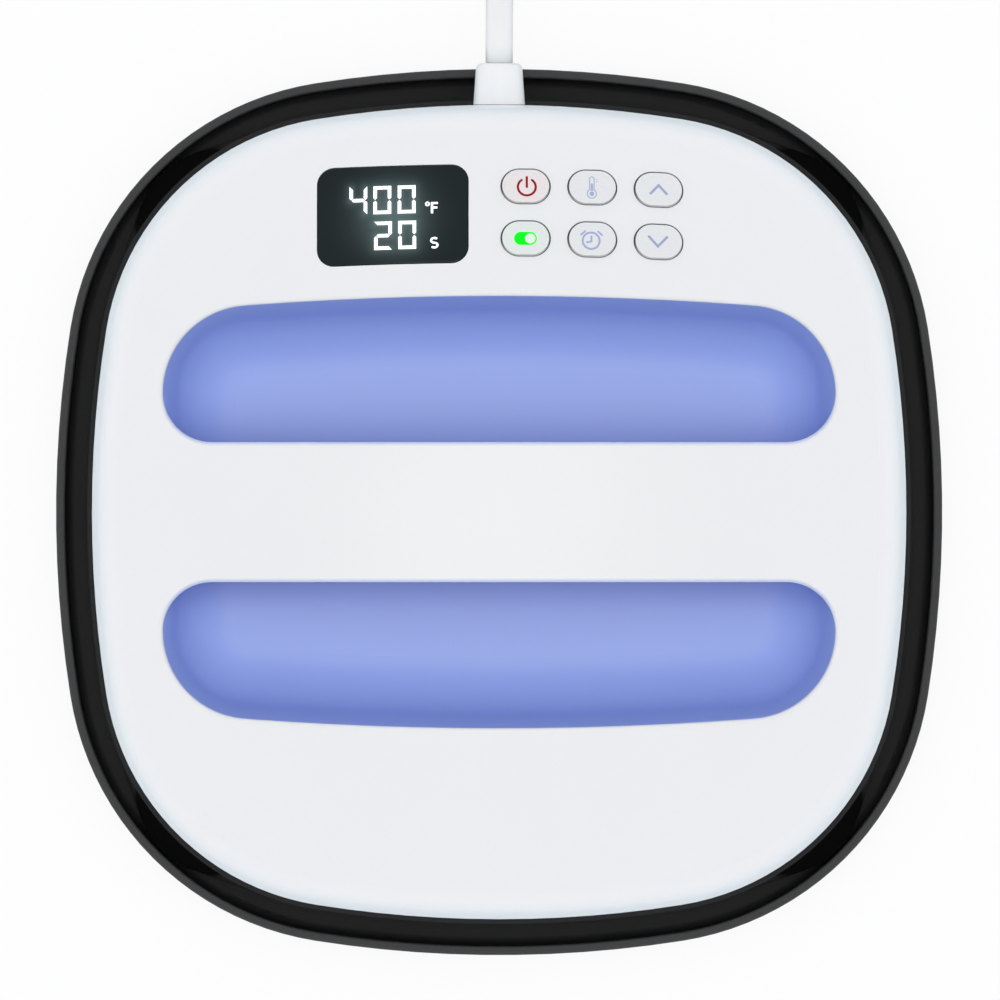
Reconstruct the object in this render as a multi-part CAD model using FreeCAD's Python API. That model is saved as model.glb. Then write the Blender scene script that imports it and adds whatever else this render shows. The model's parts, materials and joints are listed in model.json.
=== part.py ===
import FreeCAD, Part
import os
from math import asin, atan2, cos, degrees, hypot, pi, radians, sin, sqrt, tan

# A handheld heat press standing in its safety stand. Millimetres, +Z up, +Y towards the cord.
# The origin is the middle of the plane that the stand's feet rest on.

V = FreeCAD.Vector
ORIGIN = V(0, 0, 0)
UP = V(0, 0, 1)
RIGHT = V(1, 0, 0)
BACK = V(0, 1, 0)

# Clearances
seat_gap = 0.3  # between the press and the stand, and round every key
fit_gap = 0.2  # between pieces that are assembled to each other
screw_gap = 0.05  # radial, between a screw and its pilot hole
through_gap = 0.4  # radial, where a screw or its head passes freely
cut_past = 1.0  # how far a cutting shape runs past a face
skin_reach = 8.0  # how far a panel shape runs past the skin, up and down

# Stand: a tray with four side arcs and four corner arcs in plan
stand_margin = 12.8  # past the housing, at the middle of each side
stand_side_r = 414.0
stand_corner_r = 103.0
stand_rim_w = 3.25
stand_rim_z = 22.0
stand_floor_t = 3.0
stand_draft = 1.8
stand_foot_r = 3.0  # fillet where the floor meets the rim
rim_edge_r = 0.8
foot_r = 8.0
foot_h = 3.0
foot_recess = 1.0
foot_in = 51.0  # from the stand's edge
foot_chamfer = 0.6
pad_in = 11.0  # from the plate's edge
pad_corner_r = 24.0
pad_t = 4.0
pad_rib_w = 5.0
pad_rib_pitch = 24.0
pad_rib_h = 1.2
pad_rib_inset = 1.0

# Heating plate and what lies on it
plate_half = 127.0
plate_corner_gap = 0.56  # along each axis, from the plate's corner to the stand's
plate_t = 12.0
plate_edge_r = 2.0
element_r = 3.3
element_passes = 6
element_in = 18.0  # of the outer passes from the line of the studs
element_turn_in = 30.0  # of the turns' start from the line of the studs
element_pin_bend_r = 10.0
element_pin_z = 44.0
element_clear = 2.0  # radial, round the element where it passes the sheets and the deck
element_tab_w = 6.3
element_tab_t = 0.8
element_tab_h = 9.0
insulation_inset = 8.0
insulation_t = 7.0
shield_t = 0.8
shield_lip = 5.0
stud_in = 19.0  # from the plate's edge
spacer_flats = 8.0
plate_screw_r = 2.0
plate_screw_depth = 8.0
screw_head_r = 4.0
screw_head_h = 2.6

# Heat sensing, in a window of the insulation and the shield
cutoff_y = 16.0
cutoff_r = 7.5
cutoff_h = 6.0
cutoff_cap_h = 2.0
cutoff_ear = 11.5
cutoff_ear_w = 7.0
cutoff_blade_x = 3.4
cutoff_blade_h = 7.0
sensor_sheet_t = 0.8
probe_r = 1.6
probe_l = 13.0
clip_w = 7.0
clip_foot_l = 8.5
clip_screw_reach = 6.0
sensor_screw_r = 1.5
sensor_screw_l = 6.3
sensor_head_r = 2.7
sensor_head_h = 1.8
window_w = 66.0
window_d = 34.0

# Lower skirt: from the plate's outline up to the housing's
skirt_gap = 0.8  # above the plate
skirt_top_z = 38.0
skirt_lip_h = 2.5
skirt_ledge_w = 1.6  # how far the skirt shows outside the housing
skirt_wall = 3.0
deck_z = 32.0
deck_t = 2.5
deck_rib_x = 60.0
deck_rib_y = -60.0
deck_rib_w = 1.6
deck_rib_l = 30.0
deck_rib_h = 3.0

# Housing: a drafted wall under a domed skin, with a rolled edge between them
housing_overhang = 15.2  # past the plate, at the middle of each side
housing_side_r = 407.3
housing_corner_r = 88.4
housing_draft = 0.045  # inwards, per millimetre of height
housing_wall = 2.6
rooted_depth = 0.5  # of a boss's or post's top below the skin that carries it
crown_z = 122.0
dome_r = 365.0
roll_r = 12.0
housing_screw_along = 40.0
housing_screw_in = 8.2  # from the housing's edge
housing_screw_r = 1.65
housing_screw_l = 18.0
housing_screw_seat = 1.5  # above the deck's underside
housing_boss_r = 4.5
skirt_boss_r = 6.5
skirt_boss_drop = 4.0

# Hand basin and the bar across it
basin_border_x = 25.2  # from the housing's edge in to the basin
basin_border_y = 67.1
basin_long_r = 1190.0
basin_corner_r = 30.5
basin_floor_z = 54.0
basin_slope = 0.2  # inwards, per millimetre of depth below the upright rim
basin_rim_drop = 1.0  # of the upright rim below the lowest part of the skin's lip
basin_floor_r = 20.0
basin_wall = 2.2
bar_half = 24.3
bar_depth = 16.0  # of the bar's own side walls, below the skin
bar_grip_t = 14.0
bar_grip_r = 8.0
lip_depth = 6.0  # of the housing's turned-in lip round each hand well
lip_edge_r = 1.2
liner_tab_reach = 7.0
liner_tab_r = 5.5
liner_tab_t = 2.5
liner_tab_depth = 12.0
liner_tab_angle = 60.0
liner_tab_root = 0.93  # share of the way out at which a tab's root lies
small_screw_r = 1.45
small_head_r = 2.8
small_head_h = 2.0
small_boss_r = 4.0
liner_screw_l = 8.5
handle_screw_l = 12.0
handle_seat_depth = bar_depth + 4.0
handle_screw_inner = 30.0
handle_screw_in = 37.5  # of the outer ones from the basin's end

# Control panel: the display and the keys sit square to the dome at their own middles
display_in = 38.25  # of its middle line from the housing's edge
display_across = -37.1
display_w = 52.8
display_h = 35.7
display_corner_r = 6.0
display_ledge = 2.5
lens_t = 1.5
lens_gap = 0.15
digit_depth = 1.4  # of the digits' face below the housing's inner skin
digit_corner_r = 1.0
digit_w = 44.0
digit_h = 26.0
digit_t = 7.0
keys_in = 37.92
keys_across = 32.4
key_w = 17.5
key_h = 13.1
key_space_u = 5.7
key_space_v = 5.8
key_proud = 0.6
key_edge_r = 0.45
key_flange_w = 1.2
key_flange_t = 1.2
key_stem_r = 2.5
key_travel = 0.6
key_stem_l = 3.8  # from the flange down to the switch, at the end of the travel
switch_size = 6.0
switch_h = 3.5
switch_plunger_r = 1.75
switch_plunger_h = 1.2
board_t = 1.6
board_corner_r = 2.0
key_board_border_u = 13.0  # of the board past the outer keys' middles
key_board_border_v = 12.6
display_board_border_u = 4.1  # of the board past the lens
display_board_border_v = 4.8
post_r = 3.0
post_inset = 3.5
board_screw_r = 1.1
board_screw_l = 6.1
board_head_r = 2.1
board_head_h = 1.6
buzzer_r = 6.0
buzzer_h = 7.5
buzzer_hole_r = 1.2

# Power electronics, on the deck at the front
power_board_h = 42.0
power_board_back = 5.7  # from the basin's wall
power_board_screw_l = 5.6
deck_post_h = 5.5
# The pieces stand in rows from the board's left end; each has a place across the board and a size
board_end = 9.0
transformer_y = 0.0
core_w = 30.0
core_d = 14.0
core_h = 25.0
core_leg = 6.0
bobbin_w = 20.0
bobbin_d = 25.0
relay_gap = 11.0  # from the transformer's core
relay_y = 9.0
relay_w = 28.0
relay_d = 12.5
relay_h = 16.0
heatsink_gap = 12.0  # from the bulk capacitor to the middle of the base
heatsink_end = 18.0  # from the middle of the base to the board's right end
heatsink_y = -8.0
heatsink_base_t = 3.0
heatsink_d = 24.0
heatsink_h = 24.0
fin_l = 10.0
fin_t = 1.4
fin_pitch = 5.0
triac_w = 10.0
triac_t = 4.4
triac_h = 15.0
triac_leg_w = 1.0
triac_leg_t = 0.6
triac_leg_h = 5.0
triac_leg_pitch = 2.54
filter_gap = 1.0  # from the fuse
filter_y = -12.0
filter_w = 26.0
filter_d = 10.0
filter_h = 19.0
bulk_gap = 4.0  # from the relay
bulk_y = 8.0
bulk_r = 6.0
bulk_h = 20.0
fuse_gap = 2.0  # from the transformer's bobbin
fuse_y = -12.0
fuse_r = 2.6
fuse_l = 20.0
fuse_z = 5.0
fuse_clip_l = 5.0
fuse_clip_w = 6.5
fuse_clip_h = 7.0
tilt_gap = 3.5  # from the bulk capacitor
tilt_y = 15.0
tilt_r = 4.5
tilt_h = 13.0

# Cord, its exit and its coil
cord_r = 4.75
cord_z = 54.0
boot_root_r = 9.0
boot_tip_r = 8.0
boot_neck_r = 7.5
boot_flange_t = 2.4
boot_flange_w = 2.5
boot_length = 15.1  # that shows outside the housing
boot_inside = 6.0
boot_tip_edge_r = 2.2
boot_proud = 0.65  # of the boot's root past the housing's edge at the cord's height
collar_w = 4.5
collar_l = 6.0
clamp_behind = 6.48  # from the boot's inner end
clamp_w = 28.0
clamp_l = 10.0
clamp_h = 8.5
clamp_part = 0.4  # between the bridge and the saddle
clamp_screw_x = 10.5
clamp_screw_l = 11.0
clamp_seat_h = 4.4  # of the screws' heads above the cord's middle
cord_clip_gap = 0.1
tail_past_clamp = 8.0
core_spread = 2.6  # of the outer cores where they leave the sheath
core_stub = 4.5
core_bend_r = 1.6
terminal_behind = 11.5  # from the end of the sheath
terminal_w = 32.0
terminal_d = 13.0
terminal_h = 13.0
terminal_pitch = 10.0
terminal_seat_h = 4.0
terminal_port_z = 4.5
terminal_port_l = 2.5
terminal_screw_r = 2.4
core_r = 1.4
lead_bend_r = 3.0
lead_drop_in = 9.0  # of the leads' foot, inwards from the basin's back edge
lead_turn_y = 40.0
lead_bend_y = -10.0
lead_front_in = (20.0, 25.0, 30.0)  # from the power board's end
lead_rise_start = 17.0  # behind the power board
lead_rise_end = 5.0
lead_over = 5.0  # past the power board's rear edge
lead_end_h = 5.0  # above the power board
heater_lead_r = 1.7
heater_lead_bend_r = 3.5
heater_lead_in = 12.0  # from the power board's end
heater_lead_over = 4.0  # past the power board's rear edge
heater_lead_rise = 8.0
ribbon_x = 24.0
ribbon_behind = 6.9  # the basin's back edge
ribbon_over = 7.0  # past the power board's rear edge
ribbon_low = 4.0  # above the deck
ribbon_end_h = 3.0  # above the power board
ribbon_slope_l = 2.0
ribbon_bend_r = 2.0
ribbon_w = 12.0
ribbon_t = 0.9
ribbon_gap = 1.2  # under the key board
tie_t = 0.8
tie_w = 5.0
coil_gap = 0.2
coil_slack = 0.15  # of the wound bundle's outer shape round its turns
coil_x = 64.5
coil_y = 336.0
coil_turn_r = 55.0
plug_length = 40.0
plug_w = 27.0
plug_h = 30.0
plug_waist = 0.45  # share of the plug's length at which its waist lies
plug_waist_w = 23.0
plug_waist_h = 24.0
plug_corner_r = 6.0
plug_tail_l = 12.0
plug_tail_root_r = 8.0
plug_tail_tip_r = 6.2
plug_y = 282.0
blade_t = 1.5
blade_h = 6.3
blade_l = 17.0
blade_spread = 6.35
blade_up = 0.5
earth_pin_r = 2.4
earth_pin_l = 20.0
earth_pin_down = 8.2
earth_pin_end_r = 1.6

# Outlines in plan, from the plate outwards and from the housing inwards
housing_half = plate_half + housing_overhang
stand_half = housing_half + stand_margin
foot_spread = stand_half - foot_in
pad_half = plate_half - pad_in
stud_spread = plate_half - stud_in
element_half_span = stud_spread - element_in
element_pitch = 2 * element_half_span / (element_passes - 1)
element_run = stud_spread - element_turn_in
probe_x = element_pitch  # midway between two passes of the element
basin_half_x = housing_half - basin_border_x
basin_half_y = housing_half - basin_border_y
handle_screw_outer = basin_half_x - handle_screw_in
handle_screw_x = (-handle_screw_outer, -handle_screw_inner, handle_screw_inner, handle_screw_outer)

# Stack of levels, from the foot plane up
stand_bottom_z = foot_h - foot_recess
stand_floor_z = stand_bottom_z + stand_floor_t
pad_top_z = stand_floor_z + pad_t
plate_z = pad_top_z + seat_gap
plate_top_z = plate_z + plate_t
skirt_z = plate_top_z + skirt_gap
insulation_z = plate_top_z + fit_gap
shield_z = insulation_z + insulation_t + fit_gap
deck_top_z = deck_z + deck_t
power_board_z = deck_top_z + deck_post_h
power_board_top_z = power_board_z + board_t
probe_seat = probe_r + screw_gap  # height of the probe's middle above the plate
housing_screw_z = deck_z + housing_screw_seat
above_z = crown_z + 5.0
dome_centre = V(0, 0, crown_z - dome_r)
# The corner arcs of the basin and of the bar's ends share these centres.
basin_corner_x = basin_half_x - basin_corner_r
basin_long_y = basin_half_y - basin_long_r
basin_corner_y = basin_long_y + sqrt((basin_long_r - basin_corner_r) ** 2 - basin_corner_x ** 2)
bar_corner_r = basin_corner_y - bar_half
rim_reach_2 = (dome_r - lip_depth) ** 2 - basin_half_x ** 2 - basin_corner_y ** 2
basin_rim_z = dome_centre.z + sqrt(rim_reach_2) - basin_rim_drop
housing_edge_y = housing_half - housing_draft * (cord_z - skirt_top_z)
power_board_y = -(basin_half_y + basin_wall + power_board_back + power_board_h / 2)
power_board_rear_y = power_board_y + power_board_h / 2

# Places along the power board, from its left end
core_right = board_end + core_w
relay_right = core_right + relay_gap + relay_w
bulk_right = relay_right + bulk_gap + 2 * bulk_r
bobbin_right = board_end + (core_w + bobbin_w) / 2
fuse_right = bobbin_right + fuse_gap + fuse_l
transformer_at = (board_end + core_w / 2, transformer_y)
relay_at = (relay_right - relay_w / 2, relay_y)
bulk_at = (bulk_right - bulk_r, bulk_y)
fuse_at = (fuse_right - fuse_l / 2, fuse_y)
filter_at = (fuse_right + filter_gap + filter_w / 2, filter_y)
heatsink_at = (bulk_right + heatsink_gap, heatsink_y)
tilt_at = (bulk_right + tilt_gap + tilt_r, tilt_y)
power_board_w = bulk_right + heatsink_gap + heatsink_end

# Places along the cord, from the boot's tip forward
boot_tip_y = housing_edge_y + boot_length
boot_inner_y = housing_edge_y - housing_wall - boot_flange_t - boot_inside
clamp_y = boot_inner_y - clamp_behind - clamp_l / 2
tail_end_y = clamp_y - clamp_l / 2 - tail_past_clamp
terminal_y = tail_end_y - terminal_behind - terminal_d / 2
terminal_z = deck_top_z + terminal_seat_h
port_z = terminal_z + terminal_port_z
terminal_xs = (-terminal_pitch, 0.0, terminal_pitch)
coil_low_z = cord_r + tie_t + coil_gap + coil_slack
coil_high_z = coil_low_z + 2 * cord_r
coil_ring_r = coil_turn_r + 2 * cord_r
plug_x = coil_x + coil_ring_r
plug_front_y = plug_y - plug_tail_l - plug_length


def line(a, b):
    return Part.LineSegment(a, b).toShape()


def arc(a, middle, b):
    return Part.Arc(a, middle, b).toShape()


def box(width, depth, height, centre):
    """A block centred on centre in X and Y, standing on its z."""
    corner = V(centre.x - width / 2, centre.y - depth / 2, centre.z)
    return Part.makeBox(width, depth, height, corner)


def rod(radius, low_z, high_z, x=0.0, y=0.0):
    return Part.makeCylinder(radius, high_z - low_z, V(x, y, low_z))


def prism(wire, height):
    return Part.Face(wire).extrude(V(0, 0, height))


def pill_between(a, b, radius, low_z, high_z):
    """An arm with round ends at a and b."""
    way = b - a
    arm = Part.makeBox(way.Length, 2 * radius, high_z - low_z, V(0, -radius, low_z))
    arm.rotate(ORIGIN, UP, degrees(atan2(way.y, way.x)))
    arm.translate(V(a.x, a.y, 0))
    return union([arm, rod(radius, low_z, high_z, a.x, a.y), rod(radius, low_z, high_z, b.x, b.y)])


def union(shapes):
    whole = shapes[0].fuse(shapes[1:]) if len(shapes) > 1 else shapes[0]
    return whole.removeSplitter()


def four_fold(side, corner):
    """Closed wire from one side edge and the corner edge after it, repeated round +Z."""
    edges = []
    for turn in range(4):
        for edge in (side, corner):
            copy = edge.copy()
            copy.rotate(ORIGIN, UP, 90 * turn)
            edges.append(copy)
    return Part.Wire(edges)


def corner_centre(half, side_r, corner_r):
    """Distance along each axis to the centre of a corner arc that is tangent to two bowed sides."""
    back = side_r - half
    reach = side_r - corner_r
    return (-2 * back + sqrt(4 * back ** 2 - 8 * (back ** 2 - reach ** 2))) / 4


def crowned_square(half, side_r, corner_r, z):
    """Square with bowed sides: four side arcs and four corner arcs, tangent all round."""
    back = side_r - half
    reach = side_r - corner_r
    c = corner_centre(half, side_r, corner_r)
    tangent_x = -back + side_r * (c + back) / reach
    tangent_y = side_r * c / reach
    k = c + corner_r / sqrt(2)
    side = arc(V(tangent_x, -tangent_y, z), V(half, 0, z), V(tangent_x, tangent_y, z))
    corner = arc(V(tangent_x, tangent_y, z), V(k, k, z), V(tangent_y, tangent_x, z))
    return four_fold(side, corner)


def plate_corner():
    """The plate's corner radius, with which it just clears the stand's corners."""
    inner_r = stand_corner_r - stand_rim_w
    centre = corner_centre(stand_half - stand_rim_w, stand_side_r - stand_rim_w, inner_r)
    reach = centre + inner_r / sqrt(2) - plate_corner_gap
    return (plate_half - reach) / (1 - 1 / sqrt(2))


plate_corner_r = plate_corner()


def rounded_square(half, corner_r, z):
    c = half - corner_r
    k = c + corner_r / sqrt(2)
    side = line(V(half, -c, z), V(half, c, z))
    corner = arc(V(half, c, z), V(k, k, z), V(c, half, z))
    return four_fold(side, corner)


def stand_wire(inset, z):
    return crowned_square(stand_half - inset, stand_side_r - inset, stand_corner_r - inset, z)


def housing_wire(inset, z):
    inset = inset + housing_draft * (z - skirt_top_z)
    return crowned_square(housing_half - inset, housing_side_r - inset, housing_corner_r - inset, z)


def rounded_rect(width, height, corner_r, z, pill=False):
    """Rounded rectangle round the Z axis; a pill has half-round ends."""
    x, y = width / 2, height / 2
    r = y if pill else corner_r
    k = r * (1 - 1 / sqrt(2))
    edges = []
    corners = ((1, 1), (-1, 1), (-1, -1), (1, -1))
    for index, (sx, sy) in enumerate(corners):
        on_side = V(sx * x, sy * (y - r), z)
        on_end = V(sx * (x - r), sy * y, z)
        middle = V(sx * (x - k), sy * (y - k), z)
        start, end = (on_side, on_end) if index % 2 == 0 else (on_end, on_side)
        edges.append(arc(start, middle, end))
        nx, ny = corners[(index + 1) % 4]
        follow = V(nx * (x - r), ny * y, z) if index % 2 == 0 else V(nx * x, ny * (y - r), z)
        if end.distanceToPoint(follow) > 1e-6:
            edges.append(line(end, follow))
    return Part.Wire(edges)


def pill_prism(width, height):
    """A block with half-round ends that stands through the skin, in panel places."""
    return prism(rounded_rect(width, height, 0, -skin_reach, pill=True), 2 * skin_reach)


def below_skin(depth):
    """The ball whose top is the housing's domed skin, sunk by depth."""
    return Part.makeSphere(dome_r - depth, dome_centre)


def skin_layer(shape, outer_depth, inner_depth):
    """The part of shape between two depths below the skin."""
    return shape.common(below_skin(outer_depth)).cut(below_skin(inner_depth))


def panel_frame(across, edge_in):
    """Placement square to the dome: its z is the outward normal, and its origin lies on the skin."""
    tilt = FreeCAD.Rotation(RIGHT, -degrees(asin((housing_half - edge_in) / dome_r)))
    swing = FreeCAD.Rotation(BACK, degrees(asin(across / dome_r)))
    turned = tilt.multiply(swing)
    return FreeCAD.Placement(dome_centre + turned.multVec(V(0, 0, dome_r)), turned)


def placed(shape, placement):
    copy = shape.copy()
    copy.Placement = placement.multiply(copy.Placement)
    return copy


display_frame = panel_frame(display_across, display_in)
keys_frame = panel_frame(keys_across, keys_in)
key_grid = {
    "power": (-1, 1), "temperature": (0, 1), "up": (1, 1),
    "mode": (-1, -1), "timer": (0, -1), "down": (1, -1),
}

# Sizes of the boards, and depths below the panel along its own normal
key_pitch_u = key_w + key_space_u
key_pitch_v = key_h + key_space_v
key_board_w = 2 * (key_pitch_u + key_board_border_u)
key_board_h = key_pitch_v + 2 * key_board_border_v
display_board_w = display_w + 2 * display_board_border_u
display_board_h = display_h + 2 * display_board_border_v
plunger_top_w = -(housing_wall + seat_gap + key_flange_t + key_stem_l)
switch_top_w = plunger_top_w - switch_plunger_h
key_board_w_top = switch_top_w - switch_h
digit_top_w = -(housing_wall + digit_depth)
display_board_w_top = digit_top_w - digit_t
panel_boards = (
    (display_frame, display_board_w, display_board_h, display_board_w_top),
    (keys_frame, key_board_w, key_board_h, key_board_w_top),
)


def key_place(column, row):
    return V(column * key_pitch_u, row * key_pitch_v / 2, 0)


def grid_points(xs, ys):
    return [(x, y) for x in xs for y in ys]


def stud_points():
    """Where the plate is screwed to the deck: a square of eight."""
    steps = (-stud_spread, 0, stud_spread)
    return [(x, y) for x, y in grid_points(steps, steps) if x or y]


def housing_screw_points():
    reach = housing_half - housing_screw_in
    ends = (-reach, reach)
    along = (-housing_screw_along, housing_screw_along)
    return grid_points(ends, along) + grid_points(along, ends)


def post_points(width, height):
    x = width / 2 - post_inset
    y = height / 2 - post_inset
    return grid_points((-x, x), (-y, y))


def power_post_points():
    return [(x, y + power_board_y) for x, y in post_points(power_board_w, power_board_h)]


def pan_screw(shank_r, head_r, head_h, length, x, y, z, head_up):
    """Pan-head screw whose head seats at z, with its shank going down, or up."""
    way = -1 if head_up else 1
    shank = Part.makeCylinder(shank_r, length, V(x, y, z), V(0, 0, way))
    head = Part.makeCylinder(head_r, head_h, V(x, y, z), V(0, 0, -way))
    rim = [e for e in head.Edges if abs(e.CenterOfMass.z - (z - way * head_h)) < 0.01]
    head = head.makeFillet(head_h * 0.45, rim)
    slot = box(head_r * 1.2, head_r * 0.28, head_h * 0.5, V(x, y, 0))
    slot.translate(V(0, 0, z - way * head_h if way > 0 else z + head_h - head_h * 0.5))
    return shank.fuse(head).cut(slot).removeSplitter()


def small_screw(length, x, y, z, head_up):
    return pan_screw(small_screw_r, small_head_r, small_head_h, length, x, y, z, head_up)


# ---- routes: straight runs joined by tangent arcs ----

def route(points, radius=None):
    """A wire along points; each arc is as large as its two runs allow unless a radius is given."""
    edges = []
    start = points[0]
    for before, corner, after in zip(points, points[1:], points[2:]):
        arrive = (corner - before).normalize()
        leave = (after - corner).normalize()
        half_turn = arrive.getAngle(leave) / 2
        shorter = min((corner - before).Length, (after - corner).Length)
        bend = radius if radius else 0.45 * shorter / tan(half_turn)
        reach = bend * tan(half_turn)
        first = corner - arrive * reach
        last = corner + leave * reach
        inward = (leave - arrive).normalize()
        middle = corner + inward * (bend / cos(half_turn) - bend)
        edges.append(line(start, first))
        edges.append(arc(first, middle, last))
        start = last
    edges.append(line(start, points[-1]))
    return Part.Wire(edges)


def tube(points, tube_r, radius=None):
    """A round bar along a route."""
    path = route(points, radius)
    first = path.Edges[0]
    across = first.tangentAt(first.FirstParameter)
    ring = Part.Wire(Part.makeCircle(tube_r, points[0], across))
    return path.makePipeShell([ring], True, False)


# ---- safety stand ----

def stand_tray():
    outside = Part.makeLoft(
        [stand_wire(stand_draft, stand_bottom_z), stand_wire(0, stand_rim_z)], True, True)
    well = prism(stand_wire(stand_rim_w, stand_floor_z), stand_rim_z - stand_floor_z + cut_past)
    foot_edges = [e for e in well.Edges if e.BoundBox.ZMax < stand_floor_z + 0.01]
    well = well.makeFillet(stand_foot_r, foot_edges)
    tray = outside.cut(well)
    rim_edges = [e for e in tray.Edges if e.BoundBox.ZMin > stand_rim_z - 0.01]
    tray = tray.makeFillet(rim_edge_r, rim_edges)
    recesses = [rod(foot_r + fit_gap, 0, foot_h, x, y) for x, y in foot_points()]
    return tray.cut(recesses)


def foot_points():
    spread = (-foot_spread, foot_spread)
    return grid_points(spread, spread)


def stand_feet():
    feet = []
    for x, y in foot_points():
        foot = rod(foot_r, 0, foot_h, x, y)
        lower = [e for e in foot.Edges if e.BoundBox.ZMax < 0.01]
        feet.append(foot.makeChamfer(foot_chamfer, lower))
    return Part.makeCompound(feet)


def stand_pad():
    """Heat-proof mat under the plate, with ribs that carry the plate."""
    pad = prism(rounded_square(pad_half, pad_corner_r, stand_floor_z), pad_t - pad_rib_h)
    rib_z = stand_floor_z + pad_t - pad_rib_h
    reach = pad_half - pad_rib_w
    count = int(reach // pad_rib_pitch)
    ribs = [box(2 * reach, pad_rib_w, pad_rib_h, V(0, index * pad_rib_pitch, rib_z))
            for index in range(-count, count + 1)]
    bounds = prism(rounded_square(pad_half - pad_rib_inset, pad_corner_r - pad_rib_inset, rib_z), pad_rib_h)
    return union([pad] + [rib.common(bounds) for rib in ribs])


# ---- heating plate ----

def element_edges(z):
    """Up-and-down passes along Y, with both ends turned up as pins at the front."""
    bend = element_pin_bend_r
    turn = element_pitch / 2
    low_y = -element_run
    k = bend / sqrt(2)
    edges = []
    pin_y = low_y - bend

    def pin(x):
        corner = arc(V(x, pin_y, z + bend), V(x, low_y - k, z + bend - k), V(x, low_y, z))
        return [line(V(x, pin_y, element_pin_z), V(x, pin_y, z + bend)), corner]

    edges += pin(-element_half_span)
    for index in range(element_passes):
        x = -element_half_span + index * element_pitch
        way = 1 if index % 2 == 0 else -1
        edges.append(line(V(x, -way * element_run, z), V(x, way * element_run, z)))
        if index < element_passes - 1:
            end_y = way * element_run
            edges.append(arc(V(x, end_y, z), V(x + turn, end_y + way * turn, z),
                             V(x + element_pitch, end_y, z)))
    edges += reversed(pin(element_half_span))
    return edges


def element_body(radius):
    z = plate_top_z
    path = Part.Wire(Part.__sortEdges__(element_edges(z)))
    start = V(-element_half_span, -element_run - element_pin_bend_r, element_pin_z)
    ring = Part.Wire(Part.makeCircle(radius, start, UP))
    return path.makePipeShell([ring], True, False)


def element_pin_points():
    y = -(element_run + element_pin_bend_r)
    return [(-element_half_span, y), (element_half_span, y)]


def heating_element():
    """Tubular element half sunk in the plate, with a flat tab on each pin."""
    tabs = [box(element_tab_w, element_tab_t, element_tab_h, V(x, y, element_pin_z - cut_past))
            for x, y in element_pin_points()]
    return element_body(element_r).fuse(tabs).removeSplitter()


def heating_plate():
    plate = prism(rounded_square(plate_half, plate_corner_r, plate_z), plate_t)
    lower = [e for e in plate.Edges if e.BoundBox.ZMax < plate_z + 0.01]
    plate = plate.makeFillet(plate_edge_r, lower)
    plate_hole_z = plate_top_z - plate_screw_depth - cut_past
    sensor_hole_z = plate_top_z - sensor_screw_l
    holes = [rod(plate_screw_r + screw_gap, plate_hole_z, plate_top_z + cut_past, x, y)
             for x, y in stud_points()]
    holes += [rod(sensor_screw_r + screw_gap, sensor_hole_z, plate_top_z + cut_past, x, y)
              for x, y in sensor_screws()]
    return plate.cut(holes + [element_body(element_r + fit_gap / 2)])


def sheet_holes():
    """Everything that passes up through the insulation and the shield."""
    holes = [rod(spacer_flats / sqrt(3) + cut_past, plate_top_z, deck_z, x, y) for x, y in stud_points()]
    holes += [rod(element_r + element_clear, plate_top_z, deck_z, x, y) for x, y in element_pin_points()]
    return holes + [sensor_window(0, plate_top_z, deck_z)]


def plate_insulation():
    half = plate_half - insulation_inset
    felt = prism(rounded_square(half, plate_corner_r - insulation_inset / 2, insulation_z), insulation_t)
    return felt.cut(sheet_holes() + [element_body(element_r + fit_gap), pin_slots()])


def pin_slots():
    """Room for the element's bends on their way up."""
    width = 2 * element_r + element_clear
    depth = element_pin_bend_r + 2 * element_clear
    slots = [box(width, depth, deck_z - plate_top_z, V(x, y + depth / 2 - element_clear * 2, plate_top_z))
             for x, y in element_pin_points()]
    return Part.makeCompound(slots)


def heat_shield():
    """Folded sheet pan over the insulation."""
    inner_half = plate_half - insulation_inset + fit_gap
    corner_r = plate_corner_r - insulation_inset / 2 + fit_gap
    low_z = shield_z + shield_t - shield_lip
    outer = prism(rounded_square(inner_half + shield_t, corner_r + shield_t, low_z), shield_lip)
    inner = prism(rounded_square(inner_half, corner_r, low_z - cut_past), shield_lip + cut_past - shield_t)
    return outer.cut(inner).cut(sheet_holes() + [pin_slots()])


def plate_spacers():
    spacers = []
    for x, y in stud_points():
        flat = spacer_flats / sqrt(3)
        corners = [V(x + flat * cos(radians(60 * i)), y + flat * sin(radians(60 * i)), plate_top_z)
                   for i in range(7)]
        body = prism(Part.makePolygon(corners), deck_z - plate_top_z)
        spacers.append(body.cut(rod(plate_screw_r + screw_gap, plate_top_z, deck_z, x, y)))
    return Part.makeCompound(spacers)


def plate_screws():
    length = deck_top_z - plate_top_z + plate_screw_depth
    screws = [pan_screw(plate_screw_r, screw_head_r, screw_head_h, length, x, y, deck_top_z, True)
              for x, y in stud_points()]
    return Part.makeCompound(screws)


# ---- heat sensing, in a window of the insulation ----

def sensor_window(inset, low_z, high_z):
    centre = V(probe_x / 2, cutoff_y, low_z)
    return box(window_w - inset, window_d - inset, high_z - low_z, centre)


def cutoff_screws():
    return [(0, cutoff_y - cutoff_ear), (0, cutoff_y + cutoff_ear)]


def sensor_screws():
    return cutoff_screws() + [(probe_x + clip_screw_reach, cutoff_y)]


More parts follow.
